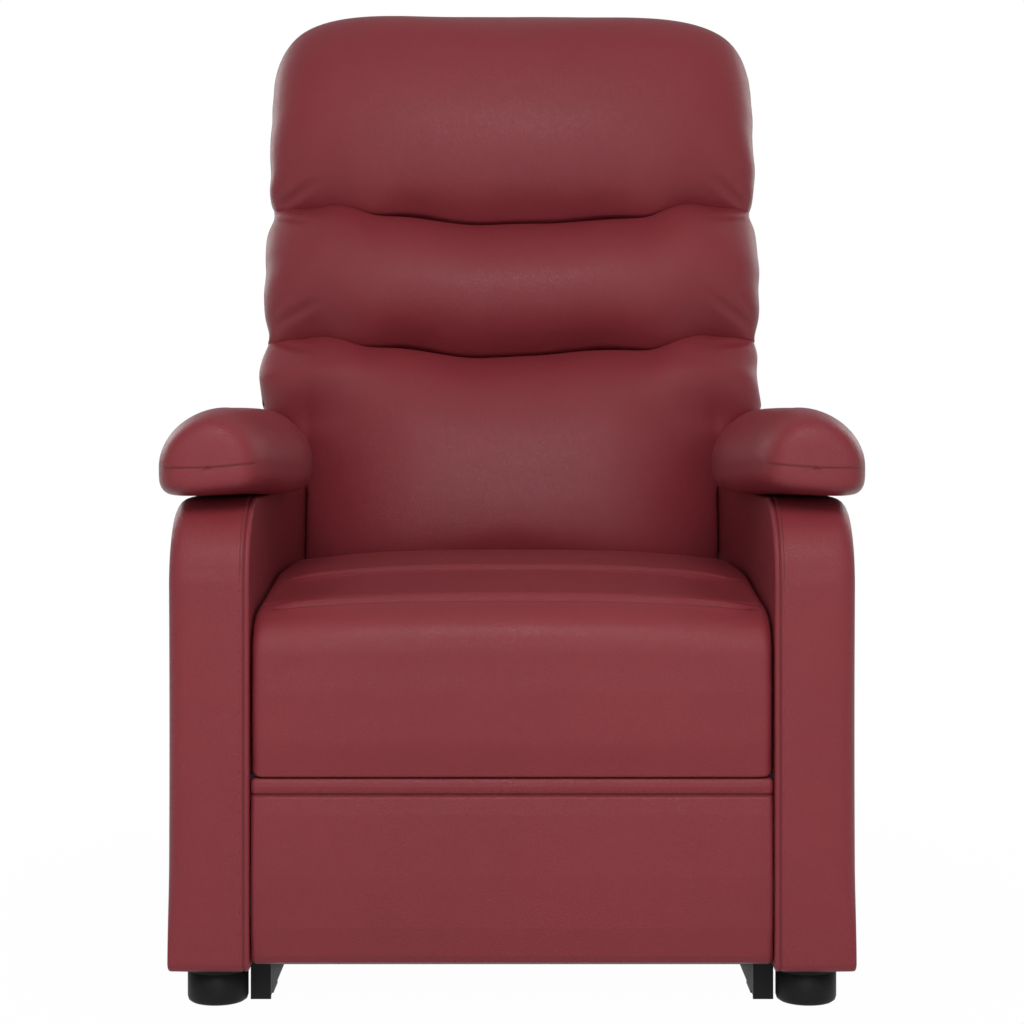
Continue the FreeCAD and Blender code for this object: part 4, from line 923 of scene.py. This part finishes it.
def armrest(side, label, rows=96, columns=96):
    """Oval sections along y, whose size falls to nothing at both ends, as a superellipse does."""
    middle_y, half_y = (PAD_FRONT + PAD_REAR) / 2, (PAD_REAR - PAD_FRONT) / 2
    bend = np.linspace(-np.pi / 2, np.pi / 2, 3000)
    power = np.where(bend < 0, 6.5, 9.0)
    curve = np.stack([half_y * signed_power(np.sin(bend), 2 / power),
                      0.07 * np.abs(np.cos(bend)) ** (2 / power)], axis=1)
    ends = even(curve, rows)
    y, size = middle_y + ends[:, 0], np.clip(ends[:, 1] / 0.07, 0, 1)
    turn = np.linspace(0, 2 * np.pi, columns, endpoint=False)
    power = np.where(np.sin(turn) > 0, 1.90, 4.2)
    wide = signed_power(np.cos(turn), 2 / power)
    tall = np.where(np.sin(turn) > 0, 0.0595, 0.0340) * signed_power(np.sin(turn), 2 / power)
    drawn = drawn_in(y)
    half_x = (PAD_HALF - drawn / 2) * size
    x = (PAD_MIDDLE + drawn / 2)[:, None] + half_x[:, None] * wide[None, :]
    lift = 0.006 * ramp(-wide, -0.6, 0.9)[None, :] * (1 - ramp(y, -0.42, -0.33))[:, None]
    z = SEAM_LEVEL + tall[None, :] * size[:, None] + lift * size[:, None]
    flat = ARM_TOP + 0.0006
    z = np.where(z < flat + 0.004, flat + 0.004 * np.exp((z - flat - 0.004) / 0.004), z)
    grid = np.stack([side * x, np.broadcast_to(y[:, None], x.shape), z], axis=-1)
    away = np.abs(z - SEAM_LEVEL - lift * size[:, None])
    away = away + 0.05 * ramp(y, -0.452, -0.430)[:, None] * np.ones_like(x)
    return grid_piece(f"armrest_cover_{label}", grid, seam=away)


rests = {label: armrest(side, label) for side, label in ((1, "left"), (-1, "right"))}

# %% [markdown]
# ## Seat
#
# One cover runs from the back of the seat, over a shallow channel, over a second seam where the
# front roll begins, and down the front. A side view of it is the outline here, carried across the
# chair and rounded over at both sides. The crown is highest in the middle and falls off towards the
# arms.

# %% Seat
SEAT_HALF = 0.2535
SEAT_FRONT = -0.4575


def channel(y, place, wide, deep):
    """A sewn valley: deep at its place, with a small swell on each side."""
    away = (y - place) / wide
    return -deep * bell(away, 1) + 0.35 * deep * bell(np.abs(away) - 2.0, 1.1)


front_face = [(SEAT_FRONT + 0.002, 0.2262), (SEAT_FRONT - 0.001, 0.262),
              (SEAT_FRONT - 0.0015, 0.310), (SEAT_FRONT, 0.340)]
roll_angle = np.linspace(np.pi, np.pi * 0.50, 30)[1:]
roll = [(SEAT_FRONT + 0.052 + 0.052 * math.cos(a), 0.344 + 0.054 * math.sin(a)) for a in roll_angle]
top_y = np.linspace(roll[-1][0] + 0.004, 0.040, 96)
top_z = 0.3985 + 0.0225 * ramp(top_y, roll[-1][0] - 0.04, -0.17) - 0.004 * ramp(top_y, -0.06, 0.04)
seat_rear = [(0.056, 0.413), (0.064, 0.405), (0.0672, 0.392), (0.0676, 0.3012)]
seat_under = [(-0.4135, 0.3012), (-0.4142, 0.2262)]
seat_outline = np.array(front_face + roll + list(zip(top_y, top_z)) + seat_rear + seat_under)
REAR_PINCH, FRONT_PINCH = -0.262, -0.414


def busy(points):
    """Denser points on the visible top, and most of all beside the two sewn lines."""
    y, z = points[:, 0], points[:, 1]
    lines = 3.0 * bell(y - FRONT_PINCH + 0.004, 0.010) + 2.2 * bell(y - REAR_PINCH + 0.011, 0.016)
    return 0.35 + 0.65 * (y < -0.44) + (z > 0.36) * (0.65 + lines)


seat_outline = spaced(seat_outline, 320, busy)
seat_line = [(-0.436, 0.245), (-0.425, 0.335), (-0.02, 0.352)]
seat_rows = wide_rows(SEAT_HALF, 0.010, 0.12, 54)
seat_y, seat_z, seat_level = panel_grid(seat_outline, seat_line, seat_rows)
seat_x = seat_level - SEAT_HALF
share_x = np.abs(seat_x) / SEAT_HALF
upper = ramp(seat_z, 0.34, 0.40)
fade = 1 - ramp(share_x, 0.80, 0.97)
arc = 0.016 * share_x**2  # how far forward the sewn lines bow at the sides
seat_z = seat_z + upper * fade * channel(seat_y + arc, REAR_PINCH, 0.0060, 0.0100)
seat_z = seat_z + upper * fade * channel(seat_y + arc * 0.4, FRONT_PINCH, 0.0042, 0.0070)
seat_z = seat_z - upper * 0.009 * share_x**2.6
face = (1 - ramp(seat_y, -0.45, -0.43)) * ramp(seat_z, 0.225, 0.26)
seat_y = seat_y - 0.0025 * (1 - share_x**4) * face
away = np.minimum(np.abs(seat_y + arc - REAR_PINCH), np.abs(seat_y + arc * 0.4 - FRONT_PINCH))
away = away + 0.03 * (1 - upper * fade)
seat = grid_piece("seat_cover", np.stack([seat_x, seat_y, seat_z], axis=-1), seam=away)

# %% [markdown]
# ## Swelling the cushions
#
# The pillows are held along their rear face, the seat under its edges and the armrests on the arm.
# The rest of each cover is free, and the cloth gets a little more length than the shape, which is
# what makes the soft puckers beside the seams.

# %% Swelling the cushions
def sewn(piece, reach):
    """The points within reach of a sewn line."""
    away = np.empty(len(piece.data.vertices), np.float32)
    piece.data.attributes["seam"].data.foreach_get("value", away)
    return away < reach


jobs = []
for piece in (head, middle, lower):
    _, deep, _ = off_back(point_places(piece.data).astype(float))
    jobs.append((piece, deep < SEAM_DEEP - 0.030, 2.0, 0.002, 0.005))
for piece in rests.values():
    held = point_places(piece.data).astype(float)[:, 2] < ARM_TOP + 0.004
    jobs.append((piece, held, 2.0, 0.002, 0.003))
places = point_places(seat.data).astype(float)
held = (places[:, 2] < 0.330) | (np.abs(places[:, 0]) > SEAT_HALF - 0.004) | sewn(seat, 0.0022)
jobs.append((seat, held, 1.6, 0.001, 0.003))
swell(jobs)
dress(head, "back", ["head_pillow"], smooth=1)
dress(middle, "back", ["middle_pillow"], smooth=1)
dress(lower, "back", ["lower_back_cushion"], smooth=1)
for label, piece in rests.items():
    dress(piece, "chair", [f"arm_pad_{label}"], smooth=1)
dress(seat, "chair", ["seat_cushion"], smooth=1)

# %% [markdown]
# ## Footrest
#
# The footrest is a board with a foam face. A narrow band crosses its top, and a seam parts the band
# from the tall panel below. Closed, it hangs flush under the seat. Two boxes with bevelled edges
# would show a gap where the real cover is one piece drawn in by its seam, so its side view is one
# outline with a notch, carried across like the seat's.

# %% Footrest
REST_HALF = 0.2545
REST_SEAM = 0.2088
rest_front = SEAT_FRONT + 0.003
rest_outline = np.array([
    (-0.4330, 0.0432), (-0.4330, 0.2240),
    (rest_front + 0.006, 0.2254), (rest_front + 0.0022, 0.2247),
    (rest_front + 0.0005, 0.2215), (rest_front, 0.2170), (rest_front + 0.0008, 0.2110),
    (rest_front + 0.0022, 0.2096), (rest_front + 0.0032, REST_SEAM), (rest_front + 0.0022, 0.2080),
    (rest_front + 0.0006, 0.2060), (rest_front - 0.0012, 0.1900), (rest_front - 0.0030, 0.1300),
    (rest_front - 0.0022, 0.0800), (rest_front + 0.0010, 0.0520), (rest_front + 0.0035, 0.0455),
    (rest_front + 0.0080, 0.0428)])
rest_outline = even(rest_outline, 360, closed=True)
rest_line = [(-0.4455, 0.058), (-0.4455, 0.208)]
rest_rows = wide_rows(REST_HALF, 0.005, 0.02, 50)
rest_y, rest_z, rest_level = panel_grid(rest_outline, rest_line, rest_rows)
rest_grid = np.stack([rest_level - REST_HALF, rest_y, rest_z], axis=-1)
away = np.abs(rest_z - REST_SEAM) + 0.03 * ramp(rest_y, -0.448, -0.440)
dress(grid_piece("footrest_cover", rest_grid, seam=away), "footrest", ["footrest_pad"])

# %% [markdown]
# ## Back shell and rear valance
#
# Behind the pillows a wooden shell is wrapped in the same leathercloth. It is narrow between the
# arms and steps out above them. The seam between the side border and the rear panel runs round it.
# A small flat valance closes the chair below, between the arms. Both are padded panels, because a
# bevelled box has neither the faint crown of foam nor a place for the seam.

# %% Back shell and rear valance
STEP = 0.350
SHELL_SEAM = 0.0145
shell_corners = [(-0.2525, 0.001, 0.006), (0.2525, 0.001, 0.006), (0.2525, STEP, 0.004),
                 (0.3060, STEP, 0.010), (0.3060, 0.849, 0.080), (-0.3060, 0.849, 0.080),
                 (-0.3060, STEP, 0.010), (-0.2525, STEP, 0.004)]
shell_outline = even(rounded(shell_corners), 520, closed=True)
shell_rows = edge_profile(0.0745, 0.009, 0.004, 0.003, 0.0, notches=(SHELL_SEAM,), reach=0.16)
shell_x, shell_up, shell_deep = panel_grid(shell_outline, [(0, 0.20), (0, 0.62)], shell_rows)
away = np.broadcast_to(np.abs(shell_rows[:, 1:2] - SHELL_SEAM), shell_x.shape)
shell = grid_piece("back_shell_cover", on_back(shell_x, shell_deep, shell_up), seam=away)
dress(shell, "back", ["outer_back_panel", "back_borders"])

low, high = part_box("rear_panel")
left, right = low.x + 0.001, high.x - 0.001
valance_corners = [(left, low.z, 0.006), (right, low.z, 0.006), (right, high.z, 0.006),
                   (left, high.z, 0.006)]
valance_outline = even(rounded(valance_corners), 240, closed=True)
valance_line = [(-0.19, 0.1125), (0.19, 0.1125)]
valance_rows = edge_profile(high.y - low.y, 0.004, 0.004, 0.0, 0.001, reach=0.045)
x, z, y = panel_grid(valance_outline, valance_line, valance_rows)
valance = grid_piece("rear_valance", np.stack([x, low.y + y, z], axis=-1),
                     seam=np.full_like(x, 0.03))
dress(valance, "chair", ["rear_panel"])

# %% [markdown]
# ## Pocket for the handset
#
# The pocket is one piece of leathercloth sewn to the arm along its sides and bottom. Its mouth
# stands open. The cloth's distance from the arm is full at the mouth and falls to nothing at the
# sewn edges as a superellipse of power 14, so that the handset's foot stays inside the cloth. A
# simulated sheet would sag further, but this pocket is short and stiff, so a formula is enough, and
# Solidify gives the sheet its thickness.

# %% Pocket
low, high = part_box("side_pocket")
POCKET_DROP = 0.008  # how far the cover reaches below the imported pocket
POCKET_WALL = 0.0017
HEM = 0.010
pocket_low, pocket_tall = low.z - POCKET_DROP, high.z - (low.z - POCKET_DROP)
u = np.linspace(-1, 1, 80)[None, :]
v = np.linspace(0, 1, 120)[:, None]
bulge = (1 - np.abs(u) ** 6) ** (1 / 3) * (1 - (1 - v) ** 14) ** (1 / 3)
pocket_x = high.x - bulge * (high.x - low.x + 0.0006)
pocket_y = (low.y + high.y) / 2 + u * (high.y - low.y) / 2 + 0 * v
pocket_z = pocket_low + v * pocket_tall + 0 * u
pocket_grid = np.stack([pocket_x, pocket_y, pocket_z], axis=-1)
hem = np.abs(pocket_z - (high.z - HEM))
edge = np.minimum((1 - np.abs(u)) * (high.y - low.y) / 2, v * pocket_tall + 0 * u)
pocket = grid_piece("side_pocket_cover", pocket_grid, loop=False,
                    seam=np.minimum(hem, np.abs(edge - 0.004)))
wall = pocket.modifiers.new("cloth_thickness", "SOLIDIFY")
wall.thickness = POCKET_WALL
wall.offset = 0.0
dress(pocket, "chair", ["side_pocket"])

# %% [markdown]
# ## Feet
#
# Four turned plastic feet carry the arms. A foot is a profile of radius over height turned about
# its own axis: a rounded lower rim, a straight side and a narrow groove under the top flange. A
# plain cylinder would have neither the rim nor the groove that catch the light.

# %% Feet
FOOT_RADIUS = 0.030
FOOT_PROFILE = np.array([
    (0.0, 0.0), (0.022, 0.0), (0.0265, 0.0006), (0.0290, 0.0024), (FOOT_RADIUS, 0.0058),
    (FOOT_RADIUS, 0.0300), (0.0292, 0.0306), (0.0292, 0.0318), (FOOT_RADIUS, 0.0324),
    (FOOT_RADIUS, 0.0378), (0.0, 0.0378)])


def turned(profile, columns=72):
    """Points of a profile (radius, height) turned about z."""
    angle = np.linspace(0, 2 * np.pi, columns, endpoint=False)
    x = profile[:, :1] * np.cos(angle)
    y = profile[:, :1] * np.sin(angle)
    return np.stack([x, y, np.broadcast_to(profile[:, 1:], x.shape)], axis=-1)


low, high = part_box("feet")
for side, word in ((1, "left"), (-1, "right")):
    for y, end in ((low.y + FOOT_RADIUS, "front"), (high.y - FOOT_RADIUS, "rear")):
        foot = turned(FOOT_PROFILE) + np.array([side * (high.x - FOOT_RADIUS), y, 0.0])
        stands = ["feet"] if (side, end) == (1, "front") else []
        dress(grid_piece(f"foot_{end}_{word}", foot), "chair", stands, slot="black_plastic")

# %% [markdown]
# ## Stitches
#
# The sewn lines that are seen close up carry a row of thread stitches. A stitch is a short rod
# whose two ends dip into the cover: four rings of six points. All the stitches of one seam are
# worked out at once from the seam's path and from the direction that points away from the cover.


# %% Thread
def thread_finish(name):
    """Diagonal waves for the twist, and fuzz over them."""
    finish = Finish(name)
    twist = finish.node("TexWave", {"bands_direction": "DIAGONAL"}, Vector=finish.place(),
                        Scale=900.0)
    fuzz = finish.noise(1500.0, 2.0)
    tint = finish.blend(twist * 0.5 + fuzz * 0.5, colour(92, 28, 34), colour(138, 54, 62))
    finish.relief(twist, 0.00008)
    return finish.set(Base_Color=tint, Roughness=0.62 + fuzz * 0.15)


thread = thread_finish("wine_thread")
# The four rings of a stitch: place along it, size, and height over the cover.
RING_PLACE = np.array([-0.5, -0.32, 0.32, 0.5])
RING_SIZE = np.array([0.35, 1.0, 1.0, 0.35])
RING_LIFT = np.array([-0.6, 0.35, 0.35, -0.6])


print("thread", len(thread.node_tree.nodes), "nodes")


# %% A row of stitches
def stitches(name, path, away, body, length=0.0036, pitch=0.0050, radius=0.00048):
    """Rows of stitches: each is a tube along the path whose rings shrink and sink at both ends."""
    path, away = np.asarray(path, float), np.asarray(away, float)
    total = np.linalg.norm(np.diff(path, axis=0), axis=1).sum()
    both = even(np.hstack([path, np.broadcast_to(away, path.shape)]), 2 * int(total / pitch) + 1)
    spot, out = both[1::2, :3], both[1::2, 3:]
    along = both[2::2, :3] - both[:-1:2, :3]
    along /= np.linalg.norm(along, axis=1, keepdims=True)
    out = out - (out * along).sum(axis=1, keepdims=True) * along
    out /= np.linalg.norm(out, axis=1, keepdims=True)
    side = np.cross(along, out)
    turn = (np.arange(6) / 6 * 2 * np.pi)[None, :, None]
    ring = (out[:, None, :] * np.cos(turn) + side[:, None, :] * np.sin(turn))[:, None, :, :]
    spot, along, out = (v[:, None, None, :] for v in (spot, along, out))
    shift, sink, size = (v[None, :, None, None] for v in
                         (RING_PLACE * length, RING_LIFT * radius, RING_SIZE * radius))
    points = spot + along * shift + out * sink + ring * size
    index = np.arange(points.size // 3).reshape(len(spot), 4, 6)
    after = np.roll(index, -1, axis=2)
    sides_of = np.stack([index[:, :-1], after[:, :-1], after[:, 1:], index[:, 1:]], axis=-1)
    caps = np.vstack([index[:, 0, ::-1], index[:, -1]])
    piece = surface(name, points, sides_of.reshape(-1, 4).tolist() + caps.tolist())
    return dress(piece, body, finish=thread)


def outline_away(outline):
    """Directions in the outline's plane that point out of it."""
    step = np.roll(outline, -1, axis=0) - np.roll(outline, 1, axis=0)
    away = np.stack([step[:, 1], -step[:, 0]], axis=1)
    away /= np.linalg.norm(away, axis=1, keepdims=True)
    middle = outline.mean(axis=0)
    return away * np.sign(((outline - middle) * away).sum())


# %% Stitches on the seams
BESIDE = 0.0035  # how far a row of stitches lies beside its seam
front_part = (arm_outline[:, 0] < -0.380) & (arm_outline[:, 1] > 0.046)
away = outline_away(arm_outline)[front_part]
y, z = arm_outline[front_part].T
level = ARM_SEAM + BESIDE
for side, label in ((1, "left"), (-1, "right")):
    path = np.stack([np.full_like(y, side * (INNER + level)), crowned(y, z, level), z], axis=1)
    out = np.stack([0 * y, away[:, 0], away[:, 1]], axis=1)
    stitches(f"arm_stitches_{label}", path, out, "chair")

x = np.linspace(-0.244, 0.244, 60)
path = np.stack([x, np.full_like(x, rest_front + 0.0004), np.full_like(x, 0.2128)], axis=1)
stitches("footrest_stitches", path, (0, -1, 0), "footrest")

row = int(round((len(v) - 1) * (1 - (HEM + 0.0025) / pocket_tall)))
path = pocket_grid[row, 6:-6] - np.array([0.0009, 0, 0])
stitches("pocket_stitches", path, (-1, 0, 0), "chair")

shell_away = outline_away(shell_outline)
path = on_back(shell_outline[:, 0], 0.0190, shell_outline[:, 1])
out = on_back(shell_away[:, 0], 0.0, shell_away[:, 1]) - on_back(0.0, 0.0, 0.0)
stitches("back_shell_stitches", np.vstack([path, path[:1]]), np.vstack([out, out[:1]]), "back")

# %% [markdown]
# ## Arrows on the two keys
#
# The handset has one key to raise and recline and one to lower. Each carries a small raised arrow,
# a triangle with rounded corners, so that a finger can tell them apart. It is a padded panel on a
# very small scale.

# %% Arrows on the two keys
arrow = rounded([(-0.0030, -0.0019, 0.0005), (0.0030, -0.0019, 0.0005), (0.0, 0.0029, 0.0005)], 6)
arrow_rows = np.array([(0.01, -0.0002), (0.0, -0.0002), (0.0, 0.0003), (0.0002, 0.0005),
                       (0.01, 0.0005)])
arrow_y, arrow_z, arrow_level = panel_grid(even(arrow, 60, closed=True),
                                           [(0, -0.0003), (0, 0.0001)], arrow_rows)
for node, body, way in (("raise_button", "raise_key", 1), ("lower_button", "lower_key", -1)):
    low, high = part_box(node)
    y, z = (low.y + high.y) / 2, (low.z + high.z) / 2
    grid = np.stack([low.x - arrow_level, y + arrow_y, z + way * arrow_z], axis=-1)
    dress(grid_piece(node + "_arrow", grid), body, slot="black_plastic")

# %% [markdown]
# ## Studio
#
# A white floor and a white surround, as in the photograph. The floor shows white to the camera but
# keeps a trace of shadow. The lamps are large and soft: one high in front with a fill under it, a
# weak one from each side and two behind. The surround is white only where it is looked at, and
# dimmer as a light.


# %% Floor
FLOOR_SIZE = 30.0
floor_mesh = bpy.data.meshes.new("studio_floor")
corners = np.array([(-1, -1, 0), (1, -1, 0), (1, 1, 0), (-1, 1, 0)], float) * FLOOR_SIZE
floor_mesh.from_pydata(corners, [], [(0, 1, 2, 3)])
floor = placed("studio_floor", floor_mesh)
white = Finish("studio_white")
white.set(Base_Color=(0.50, 0.50, 0.50, 1), Roughness=0.9)
glow = white.node("Emission", Strength=1.0)
distance = white.node("VectorMath", {"operation": "LENGTH"}, out="Value", Vector=white.place())
far = ((distance - 0.55) / 0.5).clamped()
eye, gloss, glass = (white.node("LightPath", out=f"Is {ray} Ray")
                     for ray in ("Camera", "Glossy", "Transmission"))
seen = eye.join("MAXIMUM", gloss).join("MAXIMUM", glass)
mixed = white.tree.nodes.new("ShaderNodeMixShader")
for socket, term in zip(mixed.inputs, (seen * (0.985 + far * 0.015),
                                       Signal(white, white.surface.outputs[0]), glow)):
    white.feed(socket, term)
white.tree.links.new(mixed.outputs[0], white.output.inputs[0])
floor_mesh.materials.append(white.material)
print("floor", 2 * FLOOR_SIZE, "m across")

# %% Surround and lamps
WORLD_LIGHT = 0.46
world = bpy.data.worlds.new("studio_surround")
bpy.context.scene.world = world
world.use_nodes = True
tree = world.node_tree
tree.nodes.clear()
choose = tree.nodes.new("ShaderNodeMixShader")
for slot, strength in ((1, WORLD_LIGHT), (2, 1.0)):
    sky = tree.nodes.new("ShaderNodeBackground")
    sky.inputs["Color"].default_value = (1, 1, 1, 1)
    sky.inputs["Strength"].default_value = strength
    tree.links.new(sky.outputs[0], choose.inputs[slot])
path = tree.nodes.new("ShaderNodeLightPath")
tree.links.new(path.outputs["Is Camera Ray"], choose.inputs[0])
world_output = tree.nodes.new("ShaderNodeOutputWorld")
tree.links.new(choose.outputs[0], world_output.inputs[0])

# Each lamp: name, place, the point it looks at, size in metres and power in watts.
LAMPS = (
    ("lamp_front_high", (0.0, -3.3, 2.65), (0.0, 0.0, 0.6), 1.2, 70.0),
    ("lamp_front_fill", (0.0, -3.9, 0.95), (0.0, 0.0, 0.55), 2.0, 17.0),
    ("lamp_left", (-2.5, -2.2, 1.3), (0.0, 0.0, 0.5), 1.6, 5.0),
    ("lamp_right", (2.5, -2.2, 1.3), (0.0, 0.0, 0.5), 1.6, 5.0),
    ("lamp_rear_left", (-2.4, 2.6, 1.7), (0.0, 0.2, 0.5), 1.6, 26.0),
    ("lamp_rear_right", (2.4, 2.6, 1.7), (0.0, 0.2, 0.5), 1.6, 22.0),
)
for name, place, aim, size, power in LAMPS:
    lamp = bpy.data.lights.new(name, "AREA")
    lamp.shape = "SQUARE"
    lamp.size = size
    lamp.energy = power
    holder = placed(name, lamp)
    holder.location = place
    way = np.array(aim) - np.array(place)
    holder.rotation_euler = (math.atan2(math.hypot(way[0], way[1]), -way[2]), 0,
                             math.atan2(way[1], way[0]) - math.pi / 2)
bpy.context.scene.view_settings.view_transform = "Standard"
print(len(LAMPS), "lamps")
